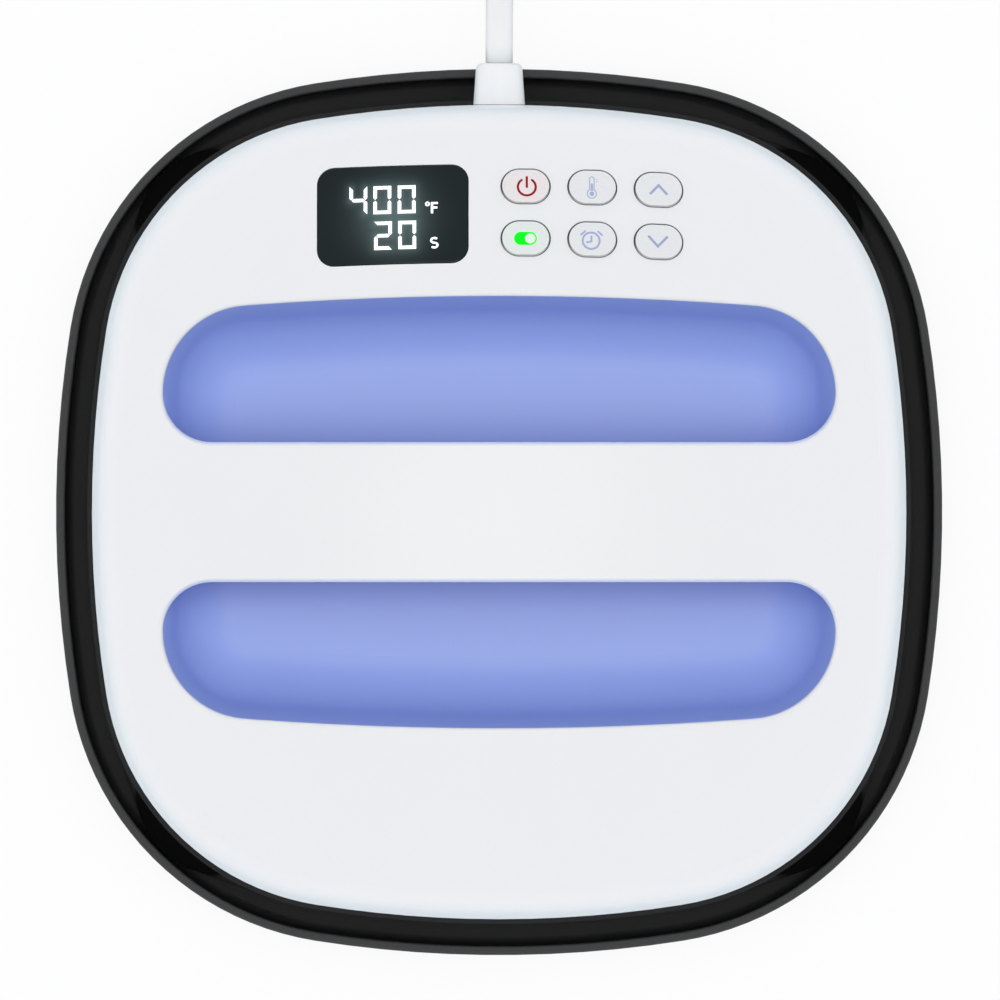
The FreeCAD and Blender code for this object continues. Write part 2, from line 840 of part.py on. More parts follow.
def thermal_cutoff():
    """Snap disc in a flanged cup, with two blade terminals."""
    z = plate_top_z
    cap_z = z + cutoff_h
    cup = rod(cutoff_r, z, cap_z, 0, cutoff_y)
    flange = box(cutoff_ear_w, 2 * cutoff_ear + cutoff_ear_w, sensor_sheet_t, V(0, cutoff_y, z))
    cap = rod(cutoff_r * 0.8, cap_z, cap_z + cutoff_cap_h, 0, cutoff_y)
    blades = [box(element_tab_t, element_tab_w, cutoff_blade_h, V(x, cutoff_y, cap_z + cutoff_cap_h / 2))
              for x in (-cutoff_blade_x, cutoff_blade_x)]
    body = union([cup, flange, cap] + blades)
    return body.cut([rod(sensor_screw_r + screw_gap, z - cut_past, z + cut_past, x, y)
                     for x, y in cutoff_screws()])


def probe_rod(radius, length):
    """A round bar along Y that rests on the plate where the probe does."""
    start = V(probe_x, cutoff_y - length / 2, plate_top_z + probe_seat)
    return Part.makeCylinder(radius, length, start, BACK)


def temperature_sensor():
    """Probe bead lying on the plate."""
    return probe_rod(probe_r, probe_l)


def sensor_clip():
    """Sheet strap over the probe, held by one screw."""
    z = plate_top_z
    middle = V(probe_x, cutoff_y, z)
    outer_r = probe_seat + sensor_sheet_t
    arch = probe_rod(outer_r, clip_w).fuse(box(2 * outer_r, clip_w, probe_seat, middle))
    room = probe_rod(probe_seat, clip_w).fuse(box(2 * probe_seat, clip_w, probe_seat, middle))
    foot_x = probe_x + probe_seat + clip_foot_l / 2
    foot = box(clip_foot_l, clip_w, sensor_sheet_t, V(foot_x, cutoff_y, z))
    above = box(clip_foot_l * 3, clip_w, 2 * outer_r, middle)
    screw_x = probe_x + clip_screw_reach
    hole = rod(sensor_screw_r + screw_gap, z - cut_past, z + sensor_sheet_t + cut_past, screw_x, cutoff_y)
    return union([arch.common(above), foot]).cut([room, hole])


def sensor_fixings():
    z = plate_top_z + sensor_sheet_t
    return Part.makeCompound([
        pan_screw(sensor_screw_r, sensor_head_r, sensor_head_h, sensor_screw_l, x, y, z, True)
        for x, y in sensor_screws()])


# ---- lower skirt ----

def skirt_form(inset, low_z, high_z):
    """The skirt's flare, from the plate's outline to the ledge under the housing."""
    flare_z = skirt_top_z - skirt_lip_h
    ledge = inset - skirt_ledge_w
    low = rounded_square(plate_half - inset, plate_corner_r - inset, skirt_z)
    high = crowned_square(housing_half - ledge, housing_side_r - ledge, housing_corner_r - ledge, flare_z)
    flare = Part.makeLoft([low, high], True, True)
    lip = prism(crowned_square(housing_half - ledge, housing_side_r - ledge,
                               housing_corner_r - ledge, flare_z), skirt_lip_h)
    form = flare.fuse(lip)
    slab = box(2 * stand_half, 2 * stand_half, high_z - low_z, V(0, 0, low_z))
    return form.common(slab)


def lower_skirt():
    shell = skirt_form(0, skirt_z, skirt_top_z)
    under = skirt_form(skirt_wall, skirt_z - cut_past, deck_z)
    over = skirt_form(skirt_wall, deck_top_z, skirt_top_z + cut_past)
    shell = shell.cut([under, over])
    rooted_z = deck_top_z - fit_gap
    inside = skirt_form(skirt_wall / 2, skirt_z, skirt_top_z)
    bosses = [rod(skirt_boss_r, deck_z - skirt_boss_drop, skirt_top_z, x, y).common(inside)
              for x, y in housing_screw_points()]
    posts = [rod(post_r, rooted_z, power_board_z, x, y) for x, y in power_post_points()]
    ribs = [box(deck_rib_w, deck_rib_l, deck_rib_h, V(x, deck_rib_y, rooted_z))
            for x in (-deck_rib_x, deck_rib_x)]
    body = union([shell] + bosses + posts + [clamp_saddle(), terminal_seat()] + ribs)
    cuts = [rod(plate_screw_r + through_gap, deck_z - cut_past, deck_top_z + cut_past, x, y)
            for x, y in stud_points()]
    cuts += [rod(housing_screw_r + through_gap, skirt_z, skirt_top_z + cut_past, x, y)
             for x, y in housing_screw_points()]
    cuts += [rod(screw_head_r + through_gap, skirt_z - cut_past, housing_screw_z, x, y)
             for x, y in housing_screw_points()]
    cuts += [rod(element_r + element_clear, deck_z - cut_past, deck_top_z + cut_past, x, y)
             for x, y in element_pin_points()]
    cuts += [rod(small_screw_r + screw_gap, deck_top_z, power_board_z + cut_past, x, y)
             for x, y in power_post_points()]
    cuts += [sensor_window(skirt_boss_r, deck_z - cut_past, deck_top_z + cut_past)]
    return body.cut(cuts).removeSplitter()


def clamp_screw_points():
    return [(-clamp_screw_x, clamp_y), (clamp_screw_x, clamp_y)]


def cord_seat():
    """The round bar that the cord's clamp and saddle leave room for."""
    length = clamp_l + 2 * cut_past
    return Part.makeCylinder(cord_r + cord_clip_gap, length, V(0, clamp_y - length / 2, cord_z), BACK)


def clamp_saddle():
    """Pedestal with a half-round seat for the cord."""
    foot_z = deck_top_z - fit_gap
    saddle = box(clamp_w, clamp_l, cord_z - foot_z, V(0, clamp_y, foot_z))
    pilot_z = cord_z + clamp_seat_h - clamp_screw_l - cut_past
    pilots = [rod(small_screw_r + screw_gap, pilot_z, cord_z + cut_past, x, y)
              for x, y in clamp_screw_points()]
    return saddle.cut([cord_seat()] + pilots)


def terminal_seat():
    foot_z = deck_top_z - fit_gap
    return box(terminal_w, terminal_d, terminal_z - foot_z, V(0, terminal_y, foot_z))


# ---- housing ----

def housing_form(inset, low_z):
    """Everything inside the housing's outer skin, brought in by inset all round."""
    block = Part.makeLoft([housing_wire(inset, low_z), housing_wire(inset, above_z)], True, True)
    form = block.common(below_skin(inset))
    top_edges = [e for e in form.Edges if e.BoundBox.ZMin > skirt_top_z + roll_r]
    return form.makeFillet(roll_r - inset, top_edges)


def basin_tangent(radius_grow):
    """Where a basin corner arc meets the long arc."""
    reach = hypot(basin_corner_x, basin_corner_y - basin_long_y)
    way = V(basin_corner_x / reach, (basin_corner_y - basin_long_y) / reach, 0)
    return way, V(0, basin_long_y, 0) + way * (basin_long_r + radius_grow)


def outer_well_edges(grow, z):
    """From the right side round the outer end of the +Y well to the left side."""
    way, tangent = basin_tangent(grow)
    r = basin_corner_r + grow
    bisect = (RIGHT + way).normalize()
    side = basin_half_x + grow
    right = V(side, basin_corner_y, z)
    shoulder = V(basin_corner_x + r * bisect.x, basin_corner_y + r * bisect.y, z)
    reach = V(tangent.x, tangent.y, z)
    top = V(0, basin_half_y + grow, z)
    flip = [V(-p.x, p.y, z) for p in (reach, shoulder, right)]
    return [arc(right, shoulder, reach), arc(reach, top, flip[0]), arc(flip[0], flip[1], flip[2])]


def basin_wire(grow, z):
    """Plan outline of the whole basin, under both wells and the bar."""
    upper = outer_well_edges(grow, z)
    side = basin_half_x + grow
    lower = []
    for edge in upper:
        copy = edge.copy()
        copy.rotate(ORIGIN, UP, 180)
        lower.append(copy)
    left = line(V(-side, basin_corner_y, z), V(-side, -basin_corner_y, z))
    right = line(V(side, -basin_corner_y, z), V(side, basin_corner_y, z))
    return Part.Wire(upper + [left] + lower + [right])


def well_wire(grow, z):
    """Plan outline of the +Y hand well."""
    edges = outer_well_edges(grow, z)
    corner_x = basin_half_x - bar_corner_r
    r = bar_corner_r + grow
    low_y = bar_half - grow
    k = r / sqrt(2)
    side = basin_half_x + grow
    left = arc(V(-side, basin_corner_y, z), V(-corner_x - k, basin_corner_y - k, z), V(-corner_x, low_y, z))
    right = arc(V(corner_x, low_y, z), V(corner_x + k, basin_corner_y - k, z), V(side, basin_corner_y, z))
    return Part.Wire(edges + [left, line(V(-corner_x, low_y, z), V(corner_x, low_y, z)), right])


def wells(grow, low_z, high_z):
    upper = prism(well_wire(grow, low_z), high_z - low_z)
    lower = upper.copy()
    lower.rotate(ORIGIN, UP, 180)
    return [upper, lower]


def basin_prism(grow, low_z, high_z):
    return prism(basin_wire(grow, low_z), high_z - low_z)


def well_lips():
    """The housing's skin turned down round each well, and deeper along the bar."""
    lips = []
    inside_basin = basin_form(-2 * fit_gap, basin_floor_z)
    for outside, inside in zip(wells(housing_wall, skirt_top_z, above_z), wells(0, skirt_top_z, above_z)):
        ring = outside.cut(inside)
        lips.append(skin_layer(ring, 0, lip_depth))
        lips.append(skin_layer(ring.common(inside_basin), 0, bar_depth))
    return lips


def liner_tab_points():
    reach = basin_corner_r + liner_tab_reach
    x = basin_corner_x + reach * cos(radians(liner_tab_angle))
    y = basin_corner_y + reach * sin(radians(liner_tab_angle))
    side = basin_half_x + liner_tab_reach
    return grid_points((-x, x), (-y, y)) + [(-side, 0), (side, 0)]


def housing_bosses():
    bosses = [rod(housing_boss_r, skirt_top_z, above_z, x, y) for x, y in housing_screw_points()]
    tabs = [rod(small_boss_r, skin_z(x, y, liner_tab_depth), above_z, x, y).common(below_skin(rooted_depth))
            for x, y in liner_tab_points()]
    bars = [rod(small_boss_r, skin_z(x, 0, bar_depth - 1), above_z, x, 0).common(below_skin(rooted_depth))
            for x in handle_screw_x]
    inside = housing_form(rooted_depth, skirt_top_z)
    return [boss.common(inside) for boss in bosses] + tabs + bars


def panel_posts():
    """Posts from the skin down to the display and key boards, in panel places."""
    posts = []
    for frame, width, height, level in panel_boards:
        for x, y in post_points(width, height):
            posts.append(placed(rod(post_r, level, 0, x, y), frame).common(below_skin(rooted_depth)))
    return posts


def post_pilots():
    pilots = []
    for frame, width, height, level in panel_boards:
        top = level - board_t + board_screw_l
        for x, y in post_points(width, height):
            pilots.append(placed(rod(board_screw_r + screw_gap, level - cut_past, top, x, y), frame))
    return pilots


def panel_prism(width, height, corner_r):
    """A rounded block that stands through the skin, in panel places."""
    return prism(rounded_rect(width, height, corner_r, -skin_reach), 2 * skin_reach)


def display_opening():
    recess = panel_prism(display_w + 2 * lens_gap, display_h + 2 * lens_gap, display_corner_r + lens_gap)
    recess = placed(recess, display_frame).cut(below_skin(lens_t + lens_gap))
    window = panel_prism(display_w - 2 * display_ledge, display_h - 2 * display_ledge,
                         display_corner_r - display_ledge)
    return [recess, placed(window, display_frame)]


def key_openings():
    openings = []
    for column, row in key_grid.values():
        hole = pill_prism(key_w, key_h)
        hole.translate(key_place(column, row))
        openings.append(placed(hole, keys_frame))
    return openings


def boot_opening():
    start_y = boot_inner_y
    return Part.makeCylinder(boot_neck_r + fit_gap, boot_tip_y - start_y, V(0, start_y, cord_z), BACK)


def boot_collar():
    """Moulded swell round the cord's exit, no wider than the boot where they meet."""
    start = V(0, housing_edge_y + boot_proud - fit_gap - collar_l, cord_z)
    return Part.makeCone(boot_root_r + collar_w, boot_root_r, collar_l, start, BACK)


def housing_top():
    outer = housing_form(0, skirt_top_z)
    inner = housing_form(housing_wall, skirt_top_z - cut_past)
    opened = outer.cut(wells(0, skirt_top_z, above_z))
    lip_edges = [e for e in opened.Edges if on_well_edge(e)]
    opened = opened.makeFillet(lip_edge_r, lip_edges)
    shell = opened.cut(inner)
    body = shell.fuse([lip.common(opened) for lip in well_lips()])
    body = body.fuse(housing_bosses() + panel_posts() + [boot_collar().cut(inner)])
    pilot_top_z = housing_screw_z + housing_screw_l + cut_past
    pilots = [rod(housing_screw_r + screw_gap, skirt_top_z - cut_past, pilot_top_z, x, y)
              for x, y in housing_screw_points()]
    pilots += [rod(small_screw_r + screw_gap, skirt_top_z, skin_z(x, y, housing_wall + cut_past), x, y)
               for x, y in liner_tab_points() + [(x, 0) for x in handle_screw_x]]
    cuts = display_opening() + key_openings() + post_pilots() + pilots + [boot_opening()]
    return body.cut(cuts).removeSplitter()


def on_well_edge(edge):
    """True for the edges where a hand well breaks the skin."""
    middle = edge.valueAt((edge.FirstParameter + edge.LastParameter) / 2)
    height = middle.sub(dome_centre).Length
    inside_x = abs(middle.x) < basin_half_x + 1
    inside_y = abs(middle.y) < basin_half_y + 1
    return abs(height - dome_r) < 0.05 and inside_x and inside_y


# ---- hand basin and bar ----

def basin_form(grow, low_z):
    """The hollow of the basin: an upright rim, sloping sides and a rounded floor, grown all round."""
    slope = basin_slope * (basin_rim_z - low_z)
    rim = basin_wire(grow, basin_rim_z)
    form = Part.makeLoft([basin_wire(grow - slope, low_z), rim], True, True)
    form = form.fuse(prism(rim, above_z - basin_rim_z))
    floor_edges = [e for e in form.Edges if e.BoundBox.ZMax < low_z + 0.01]
    return form.makeFillet(basin_floor_r + grow, floor_edges)


def hand_well_liner():
    hollow = basin_form(0, basin_floor_z)
    outside = basin_form(basin_wall, basin_floor_z - basin_wall)
    inside_prism = basin_prism(basin_wall, skirt_top_z, above_z)
    shell = outside.common(inside_prism).common(below_skin(lip_depth + fit_gap)).cut(hollow)
    tabs = []
    for x, y in liner_tab_points():
        top_z = skin_z(x, y, liner_tab_depth) - fit_gap
        inner_end = V(x * liner_tab_root, y * liner_tab_root, 0)
        arm = pill_between(V(x, y, 0), inner_end, liner_tab_r, top_z - liner_tab_t, top_z)
        tabs.append(arm.cut([hollow, rod(small_screw_r + through_gap, skirt_top_z, above_z, x, y)]))
    return union([shell] + tabs)


def handle_underside():
    """The bar's underside, with flared ends that follow the wells' corners."""
    plan = basin_form(-2 * fit_gap, basin_floor_z).cut(wells(0, skirt_top_z, above_z + cut_past))
    grip = skin_layer(plan, bar_depth + fit_gap, bar_depth + bar_grip_t)
    low_edges = [e for e in grip.Edges if on_grip_edge(e)]
    grip = grip.makeFillet(bar_grip_r, low_edges)
    heads = [rod(small_head_r + through_gap, skirt_top_z, skin_z(x, 0, handle_seat_depth), x, 0)
             for x in handle_screw_x]
    shanks = [rod(small_screw_r + through_gap, skirt_top_z, above_z, x, 0) for x in handle_screw_x]
    return grip.cut(heads + shanks)


def on_grip_edge(edge):
    middle = edge.valueAt((edge.FirstParameter + edge.LastParameter) / 2)
    depth = dome_r - middle.sub(dome_centre).Length
    on_side = abs(abs(middle.y) - bar_half) < 0.5
    return abs(depth - bar_depth - bar_grip_t) < 0.05 and on_side


def skin_z(x, y, depth):
    """Height of the skin, sunk by depth, over a place in plan."""
    return dome_centre.z + sqrt((dome_r - depth) ** 2 - x ** 2 - y ** 2)


def upward_screws(points, seat_depth, drop, length):
    """Small screws driven up, each head under a flat seat that lies drop below a depth of the skin."""
    screws = []
    for x, y in points:
        screws.append(small_screw(length, x, y, skin_z(x, y, seat_depth) - drop, False))
    return Part.makeCompound(screws)


def liner_screws():
    return upward_screws(liner_tab_points(), liner_tab_depth, fit_gap + liner_tab_t, liner_screw_l)


def handle_screws():
    return upward_screws([(x, 0) for x in handle_screw_x], handle_seat_depth, 0, handle_screw_l)


def housing_screws():
    return Part.makeCompound([
        pan_screw(housing_screw_r, screw_head_r, screw_head_h, housing_screw_l, x, y, housing_screw_z, False)
        for x, y in housing_screw_points()])


# ---- control panel ----

def display_lens():
    lens = panel_prism(display_w, display_h, display_corner_r)
    return skin_layer(placed(lens, display_frame), 0, lens_t)


def digit_display():
    block = box(digit_w, digit_h, digit_t, V(0, 0, display_board_w_top))
    upright = [e for e in block.Edges if abs(e.Length - digit_t) < 0.01]
    return placed(block.makeFillet(digit_corner_r, upright), display_frame)


def board(width, height, level, frame, screw_r=board_screw_r):
    """Circuit board with its corner holes, its top face at level."""
    low = level - board_t
    blank = prism(rounded_rect(width, height, board_corner_r, low), board_t)
    holes = [rod(screw_r + through_gap, low - cut_past, level + cut_past, x, y)
             for x, y in post_points(width, height)]
    return placed(blank.cut(holes), frame)


def display_board():
    return board(display_board_w, display_board_h, display_board_w_top, display_frame)


def key_board():
    return board(key_board_w, key_board_h, key_board_w_top, keys_frame)


def board_screws():
    screws = []
    for frame, width, height, level in panel_boards:
        for x, y in post_points(width, height):
            low = level - board_t
            screw = pan_screw(board_screw_r, board_head_r, board_head_h, board_screw_l, x, y, low, False)
            screws.append(placed(screw, frame))
    return Part.makeCompound(screws)


def tact_switches():
    switches = []
    for column, row in key_grid.values():
        centre = key_place(column, row)
        body = box(switch_size, switch_size, switch_h, V(centre.x, centre.y, key_board_w_top))
        plunger = rod(switch_plunger_r, switch_top_w, plunger_top_w, centre.x, centre.y)
        switches.append(placed(body.fuse(plunger), keys_frame))
    return Part.makeCompound(switches)


def key_cap(column, row):
    """Pill-shaped cap, a flange that keeps it in, and a stem over its switch."""
    centre = key_place(column, row)
    cap = pill_prism(key_w - 2 * seat_gap, key_h - 2 * seat_gap)
    flange = pill_prism(key_w + 2 * key_flange_w, key_h + 2 * key_flange_w)
    for shape in (cap, flange):
        shape.translate(centre)
    flange_depth = housing_wall + seat_gap
    cap = skin_layer(placed(cap, keys_frame), -key_proud, flange_depth + key_flange_t)
    top = [e for e in cap.Edges if on_cap_edge(e)]
    cap = cap.makeFillet(key_edge_r, top)
    flange = skin_layer(placed(flange, keys_frame), flange_depth, flange_depth + key_flange_t)
    stem_low = plunger_top_w + key_travel + seat_gap
    stem = placed(rod(key_stem_r, stem_low, -flange_depth - fit_gap, centre.x, centre.y), keys_frame)
    return union([cap, flange, stem])


def on_cap_edge(edge):
    middle = edge.valueAt((edge.FirstParameter + edge.LastParameter) / 2)
    return abs(middle.sub(dome_centre).Length - dome_r - key_proud) < 0.02


def buzzer():
    top = key_board_w_top - board_t
    low = top - buzzer_h
    body = rod(buzzer_r, low, top).cut(rod(buzzer_hole_r, low - cut_past, low + 2 * cut_past))
    return placed(body, keys_frame)


# ---- power electronics ----

def at_board(place):
    x, y = place
    return V(x - power_board_w / 2, power_board_y + y, power_board_top_z)


def upright_edges(block):
    return [e for e in block.Edges if e.BoundBox.ZLength > block.BoundBox.ZLength - 0.01]


def top_edges(shape):
    return [e for e in shape.Edges if e.BoundBox.ZMin > shape.BoundBox.ZMax - 0.01]


def power_board():
    middle = FreeCAD.Placement(V(0, power_board_y, 0), FreeCAD.Rotation())
    return board(power_board_w, power_board_h, power_board_top_z, middle, small_screw_r)


def power_board_screws():
    return Part.makeCompound([
        small_screw(power_board_screw_l, x, y, power_board_top_z, True) for x, y in power_post_points()])


def transformer():
    """Laminated core round a taped bobbin."""
    place = at_board(transformer_at)
    window_h = core_h - 2 * core_leg
    core = box(core_w, core_d, core_h, place)
    windows = [box(core_leg, core_d + 2 * cut_past, window_h, place + V(x, 0, core_leg))
               for x in (-core_w / 4, core_w / 4)]
    gap = 0.3
    bobbin = box(bobbin_w, bobbin_d, window_h - 2 * gap, place + V(0, 0, core_leg + gap))
    return union([core.cut(windows), bobbin])


def relay():
    block = box(relay_w, relay_d, relay_h, at_board(relay_at))
    return block.makeFillet(0.8, upright_edges(block))


def heatsink():
    """Extruded fins on a base that stands on the board."""
    place = at_board(heatsink_at)
    base = box(heatsink_base_t, heatsink_d, heatsink_h, place)
    out = (heatsink_base_t + fin_l) / 2 - fit_gap
    fins = [box(fin_l, fin_t, heatsink_h, place + V(out, row * fin_pitch, 0)) for row in range(-2, 3)]
    return union([base] + fins)


def triac():
    """Flat package on the heatsink's base, on three legs."""
    face = (heatsink_base_t + triac_t) / 2 + fit_gap
    place = at_board(heatsink_at) - V(face, 0, 0)
    body = box(triac_t, triac_w, triac_h, place + V(0, 0, triac_leg_h))
    leg_top = triac_leg_h + fit_gap
    legs = [box(triac_leg_t, triac_leg_w, leg_top, place + V(0, row * triac_leg_pitch, 0))
            for row in (-1, 0, 1)]
    return union([body] + legs)


def filter_capacitor():
    block = box(filter_w, filter_d, filter_h, at_board(filter_at))
    return block.makeFillet(1.0, upright_edges(block))


def bulk_capacitor():
    can = Part.makeCylinder(bulk_r, bulk_h, at_board(bulk_at))
    return can.makeFillet(0.8, top_edges(can))


def fuse():
    """Glass tube fuse in two clips."""
    place = at_board(fuse_at)
    glass = Part.makeCylinder(fuse_r, fuse_l, place + V(-fuse_l / 2, 0, fuse_z), RIGHT)
    reach = (fuse_l - fuse_clip_l) / 2
    clips = [box(fuse_clip_l, fuse_clip_w, fuse_clip_h, place + V(x, 0, 0)) for x in (-reach, reach)]
    return union([glass] + clips)


def tilt_switch():
    """Ball switch that cuts the heat when the press tips over."""
    body = Part.makeCylinder(tilt_r, tilt_h, at_board(tilt_at))
    return body.makeChamfer(0.8, top_edges(body))


def terminal_block():
    """Three-pole screw block on its seat behind the cord clamp."""
    body = box(terminal_w, terminal_d, terminal_h, V(0, terminal_y, terminal_z))
    cuts = []
    for x in terminal_xs:
        cuts.append(rod(terminal_screw_r, port_z + core_r, terminal_z + terminal_h + cut_past, x, terminal_y))
        for side in (-1, 1):
            start = V(x, terminal_y + side * (terminal_d / 2 + cut_past), port_z)
            port_r = core_r + screw_gap
            cuts.append(Part.makeCylinder(port_r, terminal_port_l + cut_past, start, V(0, -side, 0)))
    return body.cut(cuts)


# ---- wiring ----

def mains_cores():
    """The cord's three cores, from its cut end down to the terminal block."""
    rest_y = terminal_y + terminal_d / 2
    cores = []
    for side, x in zip((-1, 0, 1), terminal_xs):
        spread = side * core_spread
        high_z = cord_z + (-1.0 if side else 1.8)
        points = [V(spread, tail_end_y, high_z), V(spread, tail_end_y - core_stub, high_z),
                  V(x, rest_y + core_stub, port_z), V(x, rest_y - terminal_port_l, port_z)]
        cores.append(tube(points, core_r, core_bend_r))
    return Part.makeCompound(cores)


def supply_leads():
    """Live, neutral and earth from the terminal block forward to the power board."""
    low_z = deck_top_z + core_r + seat_gap
    high_z = power_board_top_z + lead_end_h
    start_y = terminal_y - terminal_d / 2
    drop_y = basin_half_y - lead_drop_in
    rise_y = power_board_rear_y + lead_rise_start
    top_y = power_board_rear_y + lead_rise_end
    leads = []
    for x, front_in in zip(terminal_xs, lead_front_in):
        front_x = front_in - power_board_w / 2
        points = [V(x, start_y + terminal_port_l, port_z), V(x, start_y - core_stub, port_z),
                  V(x, drop_y, low_z), V(x, lead_turn_y, low_z),
                  V(front_x, lead_bend_y, low_z), V(front_x, rise_y, low_z),
                  V(front_x, top_y, high_z), V(front_x, power_board_rear_y - lead_over, high_z)]
        leads.append(tube(points, core_r, lead_bend_r))
    return Part.makeCompound(leads)


def heater_leads():
    """From each element pin over to the power board's rear edge."""
    leads = []
    rise = heater_lead_rise
    tab_top_z = element_pin_z + element_tab_h - 2 * cut_past
    for side, (x, y) in zip((-1, 1), element_pin_points()):
        z = tab_top_z + core_r
        end_x = side * (power_board_w / 2 - heater_lead_in)
        end = V(end_x, power_board_rear_y - heater_lead_over, power_board_top_z)
        points = [V(x, y, z), V(x, y, z + rise), V(x - side * 12, y, z + rise + 6),
                  V(end.x + side * rise, end.y, z + rise + 4), V(end.x, end.y, z + rise / 2), end]
        leads.append(tube(points, heater_lead_r, heater_lead_bend_r))
    return Part.makeCompound(leads)


def under_key_board(x, y):
    """Height of the key board's underside over a place in plan."""
    normal = keys_frame.Rotation.multVec(UP)
    foot = keys_frame.multVec(V(0, 0, key_board_w_top - board_t))
    return foot.z - (normal.x * (x - foot.x) + normal.y * (y - foot.y)) / normal.z


def ribbon_cable():
    """Flat cable from the key board down behind the basin and forward to the power board."""
    back_y = basin_half_y + ribbon_behind
    front_y = power_board_rear_y - ribbon_over
    top_z = under_key_board(ribbon_x, back_y) - ribbon_gap
    low_z = deck_top_z + ribbon_low
    front_z = power_board_top_z + ribbon_end_h
    slope_y = front_y + ribbon_w
    points = [V(ribbon_x, back_y, top_z), V(ribbon_x, back_y, low_z),
              V(ribbon_x, slope_y, low_z), V(ribbon_x, slope_y - ribbon_slope_l, front_z),
              V(ribbon_x, front_y, front_z)]
    x, y = ribbon_w / 2, ribbon_t / 2
    corners = ((-x, -y), (x, -y), (x, y), (-x, y), (-x, -y))
    profile = Part.makePolygon([points[0] + V(dx, dy, 0) for dx, dy in corners])
    return route(points, ribbon_bend_r).makePipeShell([profile], True, False)


# ---- cord ----

def cord_boot():
    """Tapered strain relief with a rounded tip and a flange behind the housing's wall."""
    root_y = housing_edge_y + boot_proud
    body = Part.makeCone(boot_root_r, boot_tip_r, boot_tip_y - root_y, V(0, root_y, cord_z), BACK)
    tip = [e for e in body.Edges if e.BoundBox.YMin > boot_tip_y - 0.01]
    body = body.makeFillet(boot_tip_edge_r, tip)
    neck = Part.makeCylinder(boot_neck_r, root_y + fit_gap - boot_inner_y, V(0, boot_inner_y, cord_z), BACK)
    lean = housing_draft * (boot_neck_r + boot_flange_w)
    flange_y = housing_edge_y - housing_wall - boot_flange_t - lean - fit_gap
    flange = Part.makeCylinder(boot_neck_r + boot_flange_w, boot_flange_t, V(0, flange_y, cord_z), BACK)
    return union([body, neck, flange])


def cord_tail():
    """The cord's own sheath inside the housing, up to where its cores part."""
    return Part.makeCylinder(cord_r, boot_inner_y - tail_end_y, V(0, tail_end_y, cord_z), BACK)


def cord_clamp():
    """Bridge over the cord, screwed to the saddle."""
    low_z = cord_z + clamp_part
    high_z = low_z + clamp_h
    bridge = box(clamp_w, clamp_l, clamp_h, V(0, clamp_y, low_z))
    ends = [e for e in bridge.Edges if e.BoundBox.ZMin > high_z - 0.01 and e.BoundBox.XLength < 0.01]
    bridge = bridge.makeFillet(clamp_h / 2, ends)
    seat_z = cord_z + clamp_seat_h
    cuts = [cord_seat()]
    for x, y in clamp_screw_points():
        cuts.append(rod(small_head_r + through_gap, seat_z, high_z + cut_past, x, y))
        cuts.append(rod(small_screw_r + through_gap, cord_z, high_z, x, y))
    return bridge.cut(cuts)


def cord_clamp_screws():
    return Part.makeCompound([
        small_screw(clamp_screw_l, x, y, cord_z + clamp_seat_h, True) for x, y in clamp_screw_points()])


# The cord's route from the boot to the coil, chosen by hand
cord_points = [
    V(0.0, boot_tip_y, cord_z),
    V(0.0, 176.0, cord_z),
    V(0.6, 195.5, 48.6),
    V(-0.6, 213.0, 38.0),
    V(-0.4, 228.5, 24.8),
    V(0.4, 244.5, 14.2),
    V(-0.3, 262.0, 8.1),
    V(0.0, 280.0, coil_low_z),
    V(0.0, 298.0, coil_low_z),
]


def mains_cord():
    for before, corner, after in zip(cord_points, cord_points[1:], cord_points[2:]):
        arrive = corner - before
        leave = after - corner
        shorter = min(arrive.Length, leave.Length)
        print("cord bend radius", round(0.45 * shorter / tan(arrive.getAngle(leave) / 2), 1))
    cord = tube(cord_points, cord_r)
    plain_volume = pi * cord_r ** 2 * route(cord_points).Length
    print("cord volume over section times length", round(cord.Volume / plain_volume, 4))
    return cord


def cord_coil():
    """Outer shape of the wound cord: three turns side by side in two layers, with both leads."""
    outer = coil_turn_r + 3 * cord_r + coil_slack
    inner = coil_turn_r - 3 * cord_r - coil_slack
    low = coil_low_z - cord_r - coil_slack
    high = coil_high_z + cord_r + coil_slack
    r = cord_r
    k = r * (1 - 1 / sqrt(2))
    edges = [
        line(V(inner + r, 0, low), V(outer - r, 0, low)),
        arc(V(outer - r, 0, low), V(outer - k, 0, low + k), V(outer, 0, low + r)),
        line(V(outer, 0, low + r), V(outer, 0, high - r)),
        arc(V(outer, 0, high - r), V(outer - k, 0, high - k), V(outer - r, 0, high)),
        line(V(outer - r, 0, high), V(inner + r, 0, high)),
        arc(V(inner + r, 0, high), V(inner + k, 0, high - k), V(inner, 0, high - r)),
        line(V(inner, 0, high - r), V(inner, 0, low + r)),
        arc(V(inner, 0, low + r), V(inner + k, 0, low + k), V(inner + r, 0, low)),
    ]
    ring = Part.Face(Part.Wire(edges)).revolve(ORIGIN, UP, 360)
    ring.translate(V(coil_x, coil_y, 0))
    start = cord_points[-1] + V(0, seat_gap, 0)
    lead_in = Part.makeCylinder(cord_r, coil_y - start.y, start, BACK)
    lead_out = Part.makeCylinder(cord_r, coil_y - plug_y, V(plug_x, plug_y, coil_high_z), BACK)
    return union([ring, lead_in, lead_out])


def cable_ties():
    """Two bands round the bundle, which lie on the floor and carry the coil."""
    ties = []
    width = 6 * cord_r + 2 * (coil_slack + coil_gap)
    height = 4 * cord_r + 2 * (coil_slack + coil_gap)
    for side in (-1, 1):
        centre = V(coil_x, coil_y + side * coil_turn_r, 0)
        band = box(tie_w, width + 2 * tie_t, height + 2 * tie_t, centre)
        hollow = box(tie_w + 2 * cut_past, width, height, centre + V(0, 0, tie_t))
        ties.append(band.cut(hollow))
    return Part.makeCompound(ties)


